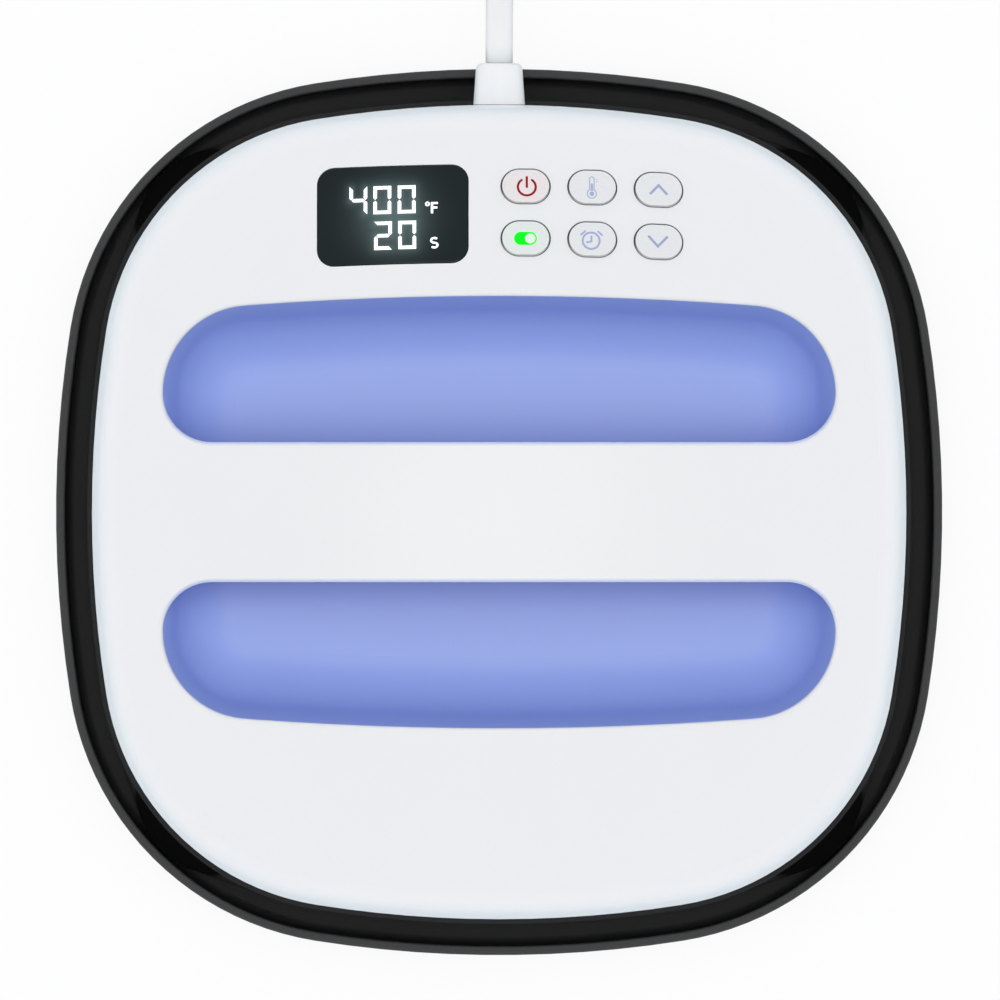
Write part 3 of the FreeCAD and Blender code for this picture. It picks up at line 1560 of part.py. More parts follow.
def plug_section(width, height, y):
    """Rounded outline of the plug, square to the cord."""
    square = FreeCAD.Placement(V(plug_x, y, coil_high_z), FreeCAD.Rotation(RIGHT, 90))
    return placed(rounded_rect(width, height, plug_corner_r, 0), square)


def plug_body():
    """Moulded three-pin plug with a waist for the fingers and a short tapered tail."""
    rear_y = plug_y - plug_tail_l
    grip = Part.makeLoft([
        plug_section(plug_w, plug_h, rear_y),
        plug_section(plug_waist_w, plug_waist_h, rear_y - plug_length * plug_waist),
        plug_section(plug_w, plug_h, plug_front_y),
    ], True, False)
    tail = Part.makeCone(plug_tail_root_r, plug_tail_tip_r, plug_tail_l, V(plug_x, rear_y, coil_high_z), BACK)
    return union([grip, tail])


def plug_pins():
    pins = []
    for side in (-1, 1):
        centre = V(plug_x + side * blade_spread, plug_front_y - blade_l / 2, coil_high_z + blade_up)
        pins.append(box(blade_t, blade_l, blade_h, centre))
    start = V(plug_x, plug_front_y, coil_high_z - earth_pin_down)
    earth = Part.makeCylinder(earth_pin_r, earth_pin_l, start, V(0, -1, 0))
    end_edges = [e for e in earth.Edges if e.BoundBox.YMax < plug_front_y - earth_pin_l + 0.01]
    pins.append(earth.makeFillet(earth_pin_end_r, end_edges))
    return Part.makeCompound(pins)


NODES = {
    "stand_tray": stand_tray,
    "stand_feet": stand_feet,
    "stand_pad": stand_pad,
    "heating_plate": heating_plate,
    "heating_element": heating_element,
    "plate_insulation": plate_insulation,
    "heat_shield": heat_shield,
    "plate_spacers": plate_spacers,
    "plate_screws": plate_screws,
    "thermal_cutoff": thermal_cutoff,
    "temperature_sensor": temperature_sensor,
    "sensor_clip": sensor_clip,
    "sensor_fixings": sensor_fixings,
    "lower_skirt": lower_skirt,
    "housing_top": housing_top,
    "hand_well_liner": hand_well_liner,
    "handle_underside": handle_underside,
    "housing_screws": housing_screws,
    "liner_screws": liner_screws,
    "handle_screws": handle_screws,
    "display_lens": display_lens,
    "digit_display": digit_display,
    "display_board": display_board,
    "key_board": key_board,
    "board_screws": board_screws,
    "tact_switches": tact_switches,
    "buzzer": buzzer,
    "power_board": power_board,
    "power_board_screws": power_board_screws,
    "transformer": transformer,
    "relay": relay,
    "heatsink": heatsink,
    "triac": triac,
    "filter_capacitor": filter_capacitor,
    "bulk_capacitor": bulk_capacitor,
    "fuse": fuse,
    "tilt_switch": tilt_switch,
    "terminal_block": terminal_block,
    "mains_cores": mains_cores,
    "supply_leads": supply_leads,
    "heater_leads": heater_leads,
    "ribbon_cable": ribbon_cable,
    "cord_boot": cord_boot,
    "cord_tail": cord_tail,
    "cord_clamp": cord_clamp,
    "cord_clamp_screws": cord_clamp_screws,
    "mains_cord": mains_cord,
    "cord_coil": cord_coil,
    "cable_ties": cable_ties,
    "plug_body": plug_body,
    "plug_pins": plug_pins,
}
for key_name, (key_column, key_row) in key_grid.items():
    NODES["button_" + key_name] = lambda c=key_column, r=key_row: key_cap(c, r)


def main():
    os.makedirs("parts", exist_ok=True)
    for name, make in NODES.items():
        shape = make()
        if not shape.isValid():
            print("not valid:", name)
        shape.exportStep("parts/" + name + ".step")
        print(name, len(shape.Solids), "solids", round(shape.Volume, 1), "mm3")


main()
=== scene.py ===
import json
from math import asin, atan2, cos, exp, hypot, pi, radians, sin, sqrt

import bpy
from mathutils import Matrix, Vector


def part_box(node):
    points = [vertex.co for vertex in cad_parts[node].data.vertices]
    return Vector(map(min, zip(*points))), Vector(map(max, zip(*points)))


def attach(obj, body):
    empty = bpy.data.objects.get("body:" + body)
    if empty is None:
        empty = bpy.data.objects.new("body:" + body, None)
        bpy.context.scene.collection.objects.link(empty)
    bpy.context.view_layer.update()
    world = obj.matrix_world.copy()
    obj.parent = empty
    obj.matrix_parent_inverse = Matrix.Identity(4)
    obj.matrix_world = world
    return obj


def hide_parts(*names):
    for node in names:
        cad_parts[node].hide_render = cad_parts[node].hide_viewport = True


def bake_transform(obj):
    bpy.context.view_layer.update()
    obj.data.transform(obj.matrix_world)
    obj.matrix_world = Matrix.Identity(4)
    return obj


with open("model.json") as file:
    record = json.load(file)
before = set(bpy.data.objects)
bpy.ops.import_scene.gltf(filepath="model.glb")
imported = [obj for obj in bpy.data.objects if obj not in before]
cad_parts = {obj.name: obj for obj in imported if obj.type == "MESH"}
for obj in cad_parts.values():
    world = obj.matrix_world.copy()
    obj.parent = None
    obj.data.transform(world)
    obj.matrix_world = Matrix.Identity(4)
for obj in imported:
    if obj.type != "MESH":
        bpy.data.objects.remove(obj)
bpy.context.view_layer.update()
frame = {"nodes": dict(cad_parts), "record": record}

# A handheld heat press in its safety stand: finishes, printed marks, display and lead. Metres, +Z up.
MM = 0.001

# ---- sizes shared with the frame ----
dome_r = 365 * MM
crown_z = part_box("housing_top")[1].z
dome_centre = Vector((0, 0, crown_z - dome_r))
display_middle = (-37.1 * MM, 103.95 * MM)
keys_middle = (32.4 * MM, 104.28 * MM)
key_pitch_u = 23.2 * MM
key_pitch_v = 18.9 * MM
key_proud = 0.6 * MM
lens_w = 52.8 * MM
lens_h = 35.7 * MM
lens_corner_r = 6.0 * MM
lens_t = 1.5 * MM

basin_half_x = 117.0 * MM
basin_corner_y = 41.37 * MM
bar_half = 24.3 * MM
lip_w = 1.2 * MM
# middle and size of the painted shade at the skirt's four corners
corner_shade_at = 101.3 * MM
corner_shade_r = 26 * MM
skirt_ledge_z = 35.2 * MM
stand_rim_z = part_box("stand_tray")[1].z

# ---- painted light, shade and reflection, laid over a finish by place ----
# painted reflection: the wells' lavender laid on the white shell's lips beside the bar
bar_lip_painted_reflection = (0.42, 0.49, 0.80)
# painted shade: the steep side walls darker and a little bluer than the shell
wall_painted_shade = (0.75, 0.80, 0.82)
# painted shade: the lavender deepened beside and under the bar
beside_bar_painted_shade = (0.28, 0.36, 0.76)
# painted shade: the tray's inside darker than its rim
tray_inside_painted_shade = (0.022, 0.022, 0.0225)
# painted shade: the cord greyer where its faces turn to the side
lead_flank_painted_shade = (0.68, 0.72, 0.72)
# painted shade: near-black at the skirt's four corners
skirt_corner_painted_shade = (0.003, 0.003, 0.003)
# painted light: the narrow ledge under the shell made paler
skirt_ledge_painted_light = (0.03, 0.03, 0.031)
# painted shade: grey on the keys' rounded edges
key_edge_painted_shade = (0.07, 0.075, 0.075)

# ---- camera: straight down from far away ----
frame_width = 349.4 * MM
view_middle = Vector((0.3 * MM, 4.2 * MM, 30 * MM))
camera_lens = 1600.0
sensor_width = 36.0


def add_camera():
    data = bpy.data.cameras.new("camera")
    data.lens = camera_lens
    data.sensor_width = sensor_width
    distance = camera_lens * frame_width / sensor_width
    data.clip_start = 1.0
    data.clip_end = 2 * distance
    camera = bpy.data.objects.new("camera", data)
    camera.location = view_middle + Vector((0, 0, distance))
    bpy.context.scene.collection.objects.link(camera)
    bpy.context.scene.camera = camera


# ---- mesh helpers ----
tube_sides = 20


def add_object(name, mesh, material):
    obj = bpy.data.objects.new(name, mesh)
    bpy.context.scene.collection.objects.link(obj)
    mesh.materials.append(material)
    return obj


def mesh_from(name, vertices, faces, smooth=True):
    mesh = bpy.data.meshes.new(name)
    mesh.from_pydata([tuple(v) for v in vertices], [], faces)
    mesh.validate()
    if smooth:
        mesh.shade_smooth()
    return mesh


def spline_path(points):
    """Points along the NURBS line whose control points are given."""
    curve = bpy.data.curves.new("path", "CURVE")
    curve.dimensions = "3D"
    curve.resolution_u = 6
    spline = curve.splines.new("NURBS")
    spline.points.add(len(points) - 1)
    for control, point in zip(spline.points, points):
        control.co = (*point, 1)
    spline.order_u = 3
    spline.use_endpoint_u = True
    obj = bpy.data.objects.new("path", curve)
    line = bpy.data.meshes.new_from_object(obj)
    path = [v.co.copy() for v in line.vertices]
    bpy.data.objects.remove(obj)
    bpy.data.curves.remove(curve)
    bpy.data.meshes.remove(line)
    return path


def tube_mesh(name, path, radius):
    """A round tube along a path, closed at both ends."""
    vertices = []
    faces = []
    across = Vector((1, 0, 0))
    for index, point in enumerate(path):
        before = path[max(index - 1, 0)]
        after = path[min(index + 1, len(path) - 1)]
        along = (after - before).normalized()
        across = (across - along * across.dot(along)).normalized()
        other = along.cross(across)
        for side in range(tube_sides):
            turn = 2 * pi * side / tube_sides
            vertices.append(point + radius * (across * cos(turn) + other * sin(turn)))
    for ring in range(len(path) - 1):
        for side in range(tube_sides):
            a = ring * tube_sides + side
            b = ring * tube_sides + (side + 1) % tube_sides
            faces.append((a, b, b + tube_sides, a + tube_sides))
    last = (len(path) - 1) * tube_sides
    faces.append(tuple(range(tube_sides - 1, -1, -1)))
    faces.append(tuple(last + side for side in range(tube_sides)))
    return mesh_from(name, vertices, faces)


# ---- materials ----
noise_detail = 3.0
broad_scale = 35.0
gloss_spread = 0.12  # share by which a finish's roughness goes up and down

def new_material(name):
    material = bpy.data.materials.new(name)
    material.use_nodes = True
    shader = material.node_tree.nodes["Principled BSDF"]
    return material, material.node_tree, shader


def mapped_noise(tree, scale, stretch=(1, 1, 1)):
    """Noise over the object's own coordinates, so that it stays on the piece."""
    place = tree.nodes.new("ShaderNodeTexCoord")
    mapping = tree.nodes.new("ShaderNodeMapping")
    mapping.inputs["Scale"].default_value = stretch
    noise = tree.nodes.new("ShaderNodeTexNoise")
    noise.inputs["Scale"].default_value = scale
    noise.inputs["Detail"].default_value = noise_detail
    tree.links.new(place.outputs["Object"], mapping.inputs["Vector"])
    tree.links.new(mapping.outputs["Vector"], noise.inputs["Vector"])
    return noise.outputs["Fac"]


def spread_value(tree, source, low, high):
    """Noise turned into values from low to high."""
    ranged = tree.nodes.new("ShaderNodeMapRange")
    ranged.inputs["From Min"].default_value = 0.3
    ranged.inputs["From Max"].default_value = 0.7
    ranged.inputs["To Min"].default_value = low
    ranged.inputs["To Max"].default_value = high
    tree.links.new(source, ranged.inputs["Value"])
    return ranged.outputs["Result"]


def mix_colour(tree, factor, first, second):
    mix = tree.nodes.new("ShaderNodeMix")
    mix.data_type = "RGBA"
    mix.inputs["A"].default_value = (*first, 1)
    mix.inputs["B"].default_value = (*second, 1)
    tree.links.new(factor, mix.inputs["Factor"])
    return mix.outputs["Result"]


def calculated(tree, operation, first, second):
    """A Math node on two values, each a number or another node's output."""
    node = tree.nodes.new("ShaderNodeMath")
    node.operation = operation
    for socket, value in zip(node.inputs, (first, second)):
        if isinstance(value, (int, float)):
            socket.default_value = value
        else:
            tree.links.new(value, socket)
    return node.outputs["Value"]


def bump(tree, shader, height, distance):
    node = tree.nodes.new("ShaderNodeBump")
    node.inputs["Strength"].default_value = 1.0
    node.inputs["Distance"].default_value = distance
    tree.links.new(height, node.inputs["Height"])
    tree.links.new(node.outputs["Normal"], shader.inputs["Normal"])


def finish_of(name, colour, roughness, grain, depth, variation=0.03, stretch=(1, 1, 1), **sockets):
    """A finish with mottled colour, uneven gloss and a fine grain; sockets are set on the shader itself."""
    material, tree, shader = new_material(name)
    broad = mapped_noise(tree, broad_scale)
    fine = mapped_noise(tree, grain, stretch)
    darker = tuple(c * (1 - variation) for c in colour)
    lighter = tuple(min(1.0, c * (1 + variation)) for c in colour)
    tree.links.new(mix_colour(tree, broad, darker, lighter), shader.inputs["Base Color"])
    gloss = spread_value(tree, fine, roughness * (1 - gloss_spread), min(1.0, roughness * (1 + gloss_spread)))
    tree.links.new(gloss, shader.inputs["Roughness"])
    bump(tree, shader, fine, depth)
    for socket, value in sockets.items():
        shader.inputs[socket.replace("_", " ")].default_value = value
    return material


def ramp(tree, source, low, high, first=0.0, last=1.0):
    """A value that goes from first to last as the source goes from low to high."""
    ranged = tree.nodes.new("ShaderNodeMapRange")
    ranged.interpolation_type = "SMOOTHSTEP"
    for socket, value in (("From Min", low), ("From Max", high), ("To Min", first), ("To Max", last)):
        ranged.inputs[socket].default_value = value
    tree.links.new(source, ranged.inputs["Value"])
    return ranged.outputs["Result"]


def tint(tree, share, colour):
    """Blend another colour into the base colour that the shader already has."""
    socket = tree.nodes["Principled BSDF"].inputs["Base Color"]
    mix = tree.nodes.new("ShaderNodeMix")
    mix.data_type = "RGBA"
    mix.inputs["B"].default_value = (*colour, 1)
    tree.links.new(share, mix.inputs["Factor"])
    tree.links.new(socket.links[0].from_socket, mix.inputs["A"])
    tree.links.new(mix.outputs["Result"], socket)


def split_vector(tree, kind):
    """The parts of the object's own coordinates or normal."""
    place = tree.nodes.new("ShaderNodeTexCoord")
    split = tree.nodes.new("ShaderNodeSeparateXYZ")
    tree.links.new(place.outputs[kind], split.inputs["Vector"])
    return split.outputs


def magnitude(tree, value):
    return calculated(tree, "ABSOLUTE", value, 0.0)


def shell_finish(name, colour):
    """Satin white: a painted reflection of the lavender well on the bar's lips, and painted shade, a little
    bluer and without gloss, on the steep side walls.
    """
    material = finish_of(name, colour, 0.30, 2600.0, 0.000004, 0.008)
    tree = material.node_tree
    place = split_vector(tree, "Object")
    bar_corner_r = basin_corner_y - bar_half
    past = calculated(tree, "SUBTRACT", magnitude(tree, place["X"]), basin_half_x - bar_corner_r)
    inward = calculated(tree, "SUBTRACT", basin_corner_y, magnitude(tree, place["Y"]))
    past = calculated(tree, "MAXIMUM", past, 0.0)
    away = calculated(tree, "ADD", calculated(tree, "MULTIPLY", past, past),
                      calculated(tree, "MULTIPLY", inward, inward))
    away = calculated(tree, "SQRT", away, 0.0)
    near = ramp(tree, away, bar_corner_r - 0.2 * lip_w, bar_corner_r + 1.25 * lip_w, 1.0, 0.0)
    share = calculated(tree, "MULTIPLY", near, ramp(tree, inward, 2 * MM, 12 * MM))
    top = calculated(tree, "GREATER_THAN", place["Z"], crown_z - 35 * MM)
    rounded = ramp(tree, split_vector(tree, "Normal")["Z"], 0.05, 0.3)
    share = calculated(tree, "MULTIPLY", share, rounded)
    # painted reflection of the lavender well on the lip's rounded faces near the bar
    tint(tree, calculated(tree, "MULTIPLY", share, top), bar_lip_painted_reflection)
    upright = split_vector(tree, "Normal")["Z"]
    # painted shade on the steep faces, which also lose their gloss
    tint(tree, ramp(tree, upright, 0.15, 0.8, 1.0, 0.0), wall_painted_shade)
    gloss = ramp(tree, upright, 0.3, 0.95, 0.0, 0.4)
    tree.links.new(gloss, tree.nodes["Principled BSDF"].inputs["Specular IOR Level"])
    return material


def liner_finish(name, colour):
    """Lavender with painted shade beside and under the bar, stronger on the front well's side."""
    material = finish_of(name, colour, 0.42, 2200.0, 0.000008, 0.012)
    tree = material.node_tree
    across = split_vector(tree, "Object")["Y"]
    # painted shade near the bar, stronger towards -Y, the front well
    near = ramp(tree, magnitude(tree, across), bar_half - 3 * MM, bar_half + 12 * MM, 1.0, 0.0)
    depth = ramp(tree, across, -bar_half, bar_half, 0.95, 0.4)
    tint(tree, calculated(tree, "MULTIPLY", near, depth), beside_bar_painted_shade)
    return material


def stand_finish(name, colour):
    """Black, with painted shade inside the tray, where no face looks outwards and the rim is above."""
    material = finish_of(name, colour, 0.55, 1800.0, 0.00004, 0.05, Specular_IOR_Level=0.25)
    tree = material.node_tree
    place = split_vector(tree, "Object")
    normal = split_vector(tree, "Normal")
    outward = calculated(tree, "ADD", calculated(tree, "MULTIPLY", place["X"], normal["X"]),
                         calculated(tree, "MULTIPLY", place["Y"], normal["Y"]))
    inside = ramp(tree, outward, 10 * MM, 30 * MM, 1.0, 0.0)
    below = ramp(tree, place["Z"], stand_rim_z - 3 * MM, stand_rim_z - 0.5 * MM, 1.0, 0.0)
    # painted shade on the inward faces below the rim
    tint(tree, calculated(tree, "MULTIPLY", inside, below), tray_inside_painted_shade)
    return material


def lead_finish(name, colour):
    """White vinyl, with painted shade that makes it a little greyer on its flanks."""
    material = finish_of(name, colour, 0.36, 1500.0, 0.00001, 0.01)
    # painted shade on the cord's flanks, by how far the face leans from upright
    flank = ramp(material.node_tree, split_vector(material.node_tree, "Normal")["Z"], 0.1, 0.7, 1.0, 0.0)
    tint(material.node_tree, flank, lead_flank_painted_shade)
    return material


def skirt_finish(name, colour):
    """Black, paler with painted light on the narrow ledge under the shell, and darkest with painted shade and
    no gloss at the four corners.
    """
    material = finish_of(name, colour, 0.45, 2200.0, 0.00001, 0.05)
    tree = material.node_tree
    place = split_vector(tree, "Object")
    aside = [calculated(tree, "SUBTRACT", magnitude(tree, place[axis]), corner_shade_at)
             for axis in ("X", "Y")]
    squares = [calculated(tree, "MULTIPLY", value, value) for value in aside]
    away = calculated(tree, "SQRT", calculated(tree, "ADD", *squares), 0.0)
    outside = ramp(tree, away, corner_shade_r - 1 * MM, corner_shade_r + 1 * MM)
    # painted shade at the four corners: no gloss and a near-black colour
    tree.links.new(calculated(tree, "MULTIPLY", outside, 0.02),
                   tree.nodes["Principled BSDF"].inputs["Specular IOR Level"])
    tint(tree, calculated(tree, "SUBTRACT", 1.0, outside), skirt_corner_painted_shade)
    # painted light that makes the ledge at the top of the skirt paler
    tint(tree, ramp(tree, place["Z"], skirt_ledge_z - 0.2 * MM, skirt_ledge_z, 0.0, 1.0), skirt_ledge_painted_light)
    return material


def key_finish(name, colour):
    """Cap plastic, with painted shade in grey on its rounded edge, which lies nearer than the face to the
    dome's centre.

    The painted shade is weaker on the edge's front, where the gap beside the cap is already dark."""
    material = finish_of(name, colour, 0.28, 2600.0, 0.000004, 0.008)
    tree = material.node_tree
    place = tree.nodes.new("ShaderNodeTexCoord")
    away = tree.nodes.new("ShaderNodeVectorMath")
    away.operation = "DISTANCE"
    away.inputs[1].default_value = dome_centre
    tree.links.new(place.outputs["Object"], away.inputs[0])
    sunk = calculated(tree, "SUBTRACT", dome_r + key_proud, away.outputs["Value"])
    edge = ramp(tree, sunk, 0.005 * MM, 0.04 * MM)
    # painted shade, weaker where the edge faces the front
    rear = ramp(tree, split_vector(tree, "Normal")["Y"], -0.6, 0.1, 0.3, 1.0)
    tint(tree, calculated(tree, "MULTIPLY", edge, rear), key_edge_painted_shade)
    return material


def brushed(name, colour, roughness):
    return finish_of(name, colour, roughness, 900.0, 0.00003, 0.06, (1, 0.03, 1), Metallic=1.0)


def slot_materials():
    return {
        "shell_white": shell_finish("shell_white", (0.83, 0.835, 0.845)),
        "key_white": key_finish("key_white", (0.77, 0.78, 0.79)),
        "lavender": liner_finish("lavender", (0.382, 0.488, 0.88)),
        "stand_black": stand_finish("stand_black", (0.048, 0.048, 0.049)),
        "skirt_black": skirt_finish("skirt_black", (0.007, 0.007, 0.0073)),
        "foot_rubber": finish_of("foot_rubber", (0.045, 0.045, 0.046), 0.75, 900.0, 0.00006, 0.08),
        "mat_silicone": finish_of("mat_silicone", (0.11, 0.11, 0.115), 0.62, 1400.0, 0.00003, 0.06),
        "plate_coated": finish_of("plate_coated", (0.07, 0.07, 0.075), 0.42, 2400.0, 0.00003, 0.1,
                                  Metallic=0.3),
        "heater_sheath": finish_of("heater_sheath", (0.30, 0.25, 0.21), 0.45, 500.0, 0.00003, 0.3,
                                   Metallic=1.0),
        "felt_white": finish_of("felt_white", (0.76, 0.73, 0.66), 0.95, 700.0, 0.0004, 0.1,
                                Sheen_Weight=0.4),
        "sheet_steel": brushed("sheet_steel", (0.58, 0.58, 0.59), 0.34),
        "screw_steel": brushed("screw_steel", (0.55, 0.55, 0.57), 0.30),
        "bakelite": finish_of("bakelite", (0.05, 0.04, 0.034), 0.35, 900.0, 0.00002, 0.2),
        "board_green": finish_of("board_green", (0.02, 0.16, 0.07), 0.32, 1500.0, 0.00002, 0.08),
        "digit_black": finish_of("digit_black", (0.02, 0.02, 0.022), 0.5, 1500.0, 0.00001, 0.05),
        "part_black": finish_of("part_black", (0.03, 0.03, 0.031), 0.42, 1500.0, 0.00002, 0.06),
        "relay_blue": finish_of("relay_blue", (0.03, 0.12, 0.42), 0.36, 1500.0, 0.00001, 0.05),
        "capacitor_yellow": finish_of("capacitor_yellow", (0.72, 0.54, 0.06), 0.36, 1500.0, 0.00001, 0.05),
        "core_iron": finish_of("core_iron", (0.21, 0.20, 0.19), 0.5, 900.0, 0.00006, 0.15,
                               (1, 0.03, 1), Metallic=0.8),
        "fin_aluminium": brushed("fin_aluminium", (0.66, 0.66, 0.68), 0.32),
        "fuse_glass": finish_of("fuse_glass", (0.80, 0.84, 0.84), 0.08, 900.0, 0.000005, 0.02,
                                Transmission_Weight=0.7),
        "wire_brown": finish_of("wire_brown", (0.20, 0.07, 0.03), 0.42, 900.0, 0.00001, 0.05),
        "wire_grey": finish_of("wire_grey", (0.46, 0.46, 0.47), 0.45, 900.0, 0.00002, 0.05, (60, 1, 1)),
        "wire_white": finish_of("wire_white", (0.76, 0.75, 0.71), 0.7, 1500.0, 0.00008, 0.05),
        "cord_white": lead_finish("cord_white", (0.86, 0.86, 0.865)),
        "tie_white": finish_of("tie_white", (0.78, 0.78, 0.79), 0.42, 1500.0, 0.00001, 0.02),
        "blade_brass": brushed("blade_brass", (0.75, 0.62, 0.34), 0.25),
        "lens_smoke": lens_material(),
    }


def dress_nodes(materials):
    """Every CAD node gets the finish of its slot in the record."""
    for row in frame["record"]["subparts"]:
        node = frame["nodes"][row["node"]]
        finish = materials[row["material_slot"]]
        if not node.material_slots:
            node.data.materials.append(finish)
        for place in node.material_slots:
            place.material = finish
    for name, colour in (("button_power", (0.80, 0.755, 0.76)), ("button_mode", (0.75, 0.80, 0.77))):
        for place in frame["nodes"][name].material_slots:
            place.material = key_finish(name, colour)


# ---- lead: from the boot down to the floor, and wound behind the stand ----
cord_d = 9.5 * MM
coil_low_z = 5.9 * MM
coil_high_z = coil_low_z + cord_d
coil_middle = Vector((64.5 * MM, 336 * MM, 0))
coil_lane = 55 * MM  # centre line of the middle one of the three turns side by side
coil_steps = 24  # control points in a turn
plug_y = 282 * MM
exit_y = 156.58 * MM
cord_z = 54 * MM
cord_route = [
    (0.0, exit_y, cord_z),
    (0.0, 0.176, cord_z),
    (0.0006, 0.1955, 0.0486),
    (-0.0006, 0.213, 0.038),
    (-0.0004, 0.2285, 0.0248),
    (0.0004, 0.2445, 0.0142),
    (-0.0003, 0.262, 0.0081),
    (0.0, 0.280, coil_low_z),
    (0.0, 0.298, coil_low_z),
]


def coil_points():
    """In low at the left, two turns inwards, half a turn up, two turns outwards, out at the right."""
    outside = coil_lane + cord_d
    inside = coil_lane - cord_d
    widen = 1 / cos(pi / coil_steps)  # the line runs inside its control points
    points = []
    for step in range(coil_steps * 9 // 2 + 1):
        turns = step / coil_steps
        climb = min(max((turns - 2) / 0.5, 0), 1)
        lane = turns / 2 if turns < 2 else 1 if turns < 2.5 else 1 - (turns - 2.5) / 2
        radius = (outside + (inside - outside) * lane) * widen
        angle = 2 * pi * turns
        z = coil_low_z + (coil_high_z - coil_low_z) * climb * climb * (3 - 2 * climb)
        points.append(coil_middle + Vector((-radius * cos(angle), radius * sin(angle), z)))
    return points


def add_cord(material):
    outlet = Vector((coil_middle.x + coil_lane + cord_d, plug_y, coil_high_z))
    halfway = Vector((outlet.x, (plug_y + coil_middle.y) / 2, coil_high_z))
    controls = [Vector(p) for p in cord_route] + coil_points() + [halfway, outlet]
    path = spline_path(controls)
    cord = add_object("lead", tube_mesh("lead", path, cord_d / 2), material)
    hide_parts("mains_cord", "cord_coil")
    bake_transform(cord)


# ---- flat shapes on the domed panel ----

class Panel:
    """Places square to the dome at a distance across and back from its crown; height 0 is the skin."""

    def __init__(self, across, back):
        tilt = Matrix.Rotation(-asin(back / dome_r), 3, "X")
        self.turn = tilt @ Matrix.Rotation(asin(across / dome_r), 3, "Y")

    def point(self, u, v, height):
        reach = sqrt((dome_r + height) ** 2 - u ** 2 - v ** 2)
        return dome_centre + self.turn @ Vector((u, v, reach))


def outline_curve(outlines):
    """A filled flat curve from closed outlines; one inside another is a hole."""
    curve = bpy.data.curves.new("outline", "CURVE")
    curve.dimensions = "2D"
    curve.fill_mode = "BOTH"
    for outline in outlines:
        spline = curve.splines.new("POLY")
        spline.points.add(len(outline) - 1)
        for control, (x, y) in zip(spline.points, outline):
            control.co = (x, y, 0, 1)
        spline.use_cyclic_u = True
    return curve


def stamp(name, outlines, panel, low, high, material, body):
    """A thin solid with the given outlines in millimetres, standing from low to high above the skin."""
    vertices = []
    faces = []
    for group in outlines:
        curve = outline_curve(group)
        curve.extrude = 1.0
        obj = bpy.data.objects.new("outline", curve)
        flat = bpy.data.meshes.new_from_object(obj)
        first = len(vertices)
        for v in flat.vertices:
            height = high if v.co.z > 0 else low
            vertices.append(panel.point(v.co.x * MM, v.co.y * MM, height))
        faces += [tuple(first + i for i in face.vertices) for face in flat.polygons]
        bpy.data.objects.remove(obj)
        bpy.data.curves.remove(curve)
        bpy.data.meshes.remove(flat)
    piece = add_object(name, mesh_from(name, vertices, faces, smooth=False), material)
    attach(piece, body)
    return piece


def circle(x, y, radius, steps=40):
    turns = [2 * pi * i / steps for i in range(steps)]
    return [(x + radius * cos(a), y + radius * sin(a)) for a in turns]


def arc_line(x, y, radius, start, end, steps=28):
    """Points on an arc, from start to end in degrees."""
    angles = [radians(start + (end - start) * i / steps) for i in range(steps + 1)]
    return [(x + radius * cos(a), y + radius * sin(a)) for a in angles]


def stroke(points, width, rounded=True):
    """Closed outline of a pen stroke along open points."""
    left, right = [], []
    for index, (x, y) in enumerate(points):
        bx, by = points[max(index - 1, 0)]
        ax, ay = points[min(index + 1, len(points) - 1)]
        in_x, in_y = x - bx, y - by
        out_x, out_y = ax - x, ay - y
        in_l, out_l = hypot(in_x, in_y) or 1, hypot(out_x, out_y) or 1
        tx, ty = in_x / in_l + out_x / out_l, in_y / in_l + out_y / out_l
        length = hypot(tx, ty)
        tx, ty = tx / length, ty / length
        bend = 1.0
        if 0 < index < len(points) - 1:
            bend = max(0.35, (tx * in_x + ty * in_y) / in_l)
        reach = width / 2 / bend
        left.append((x - ty * reach, y + tx * reach))
        right.append((x + ty * reach, y - tx * reach))
    if not rounded:
        return left + right[::-1]
    (sx, sy), (nx, ny) = points[0], points[1]
    (ex, ey), (px, py) = points[-1], points[-2]
    start = degrees_of(sx - nx, sy - ny)
    end = degrees_of(ex - px, ey - py)
    head = arc_line(ex, ey, width / 2, end + 90, end - 90, 8)[1:-1]
    tail = arc_line(sx, sy, width / 2, start + 90, start - 90, 8)[1:-1]
    return left + head + right[::-1] + tail


def degrees_of(x, y):
    return atan2(y, x) * 180 / pi


# ---- display, in millimetres ----
digit_w = 6.25
digit_h = 10.2
segment_t = 1.25
segment_gap = 0.16
SEGMENTS = {"0": "abcdef", "2": "abged", "4": "fgbc"}
# Ends of each bar's middle line in halves of the figure's size, and the way out of the figure
BARS = {
    "a": ((-1, 1), (1, 1), (0, 1)), "b": ((1, 1), (1, 0), (1, 0)), "c": ((1, 0), (1, -1), (1, 0)),
    "d": ((1, -1), (-1, -1), (0, -1)), "e": ((-1, -1), (-1, 0), (-1, 0)), "f": ((-1, 0), (-1, 1), (-1, 0)),
    "g": ((-1, 0), (1, 0), (0, 1)),
}
# Each figure's middle from the display's middle, in millimetres
READOUT = (("4", -11.95, 5.55), ("0", -3.55, 5.45), ("0", 4.95, 5.45),
           ("2", -3.3, -7.5), ("0", 5.15, -7.45))


def bar_line(letter, x, y):
    """The middle line of one bar of the figure at a place, and its way out."""
    w = (digit_w - segment_t) / 2
    h = (digit_h - segment_t) / 2
    (x0, y0), (x1, y1), out = BARS[letter]
    return (x + x0 * w, y + y0 * h), (x + x1 * w, y + y1 * h), out


def bar_end(end, towards, out, mitred):
    """Points round one end of a bar, from its outer side to its inner side."""
    ux, uy = towards
    t = segment_t / 2
    pointed = ((segment_gap + t, t), (segment_gap, 0), (segment_gap + t, -t))
    reach = ((-t, t), (t, -t)) if mitred else pointed
    return [(end[0] + along * ux + aside * out[0], end[1] + along * uy + aside * out[1])
            for along, aside in reach]


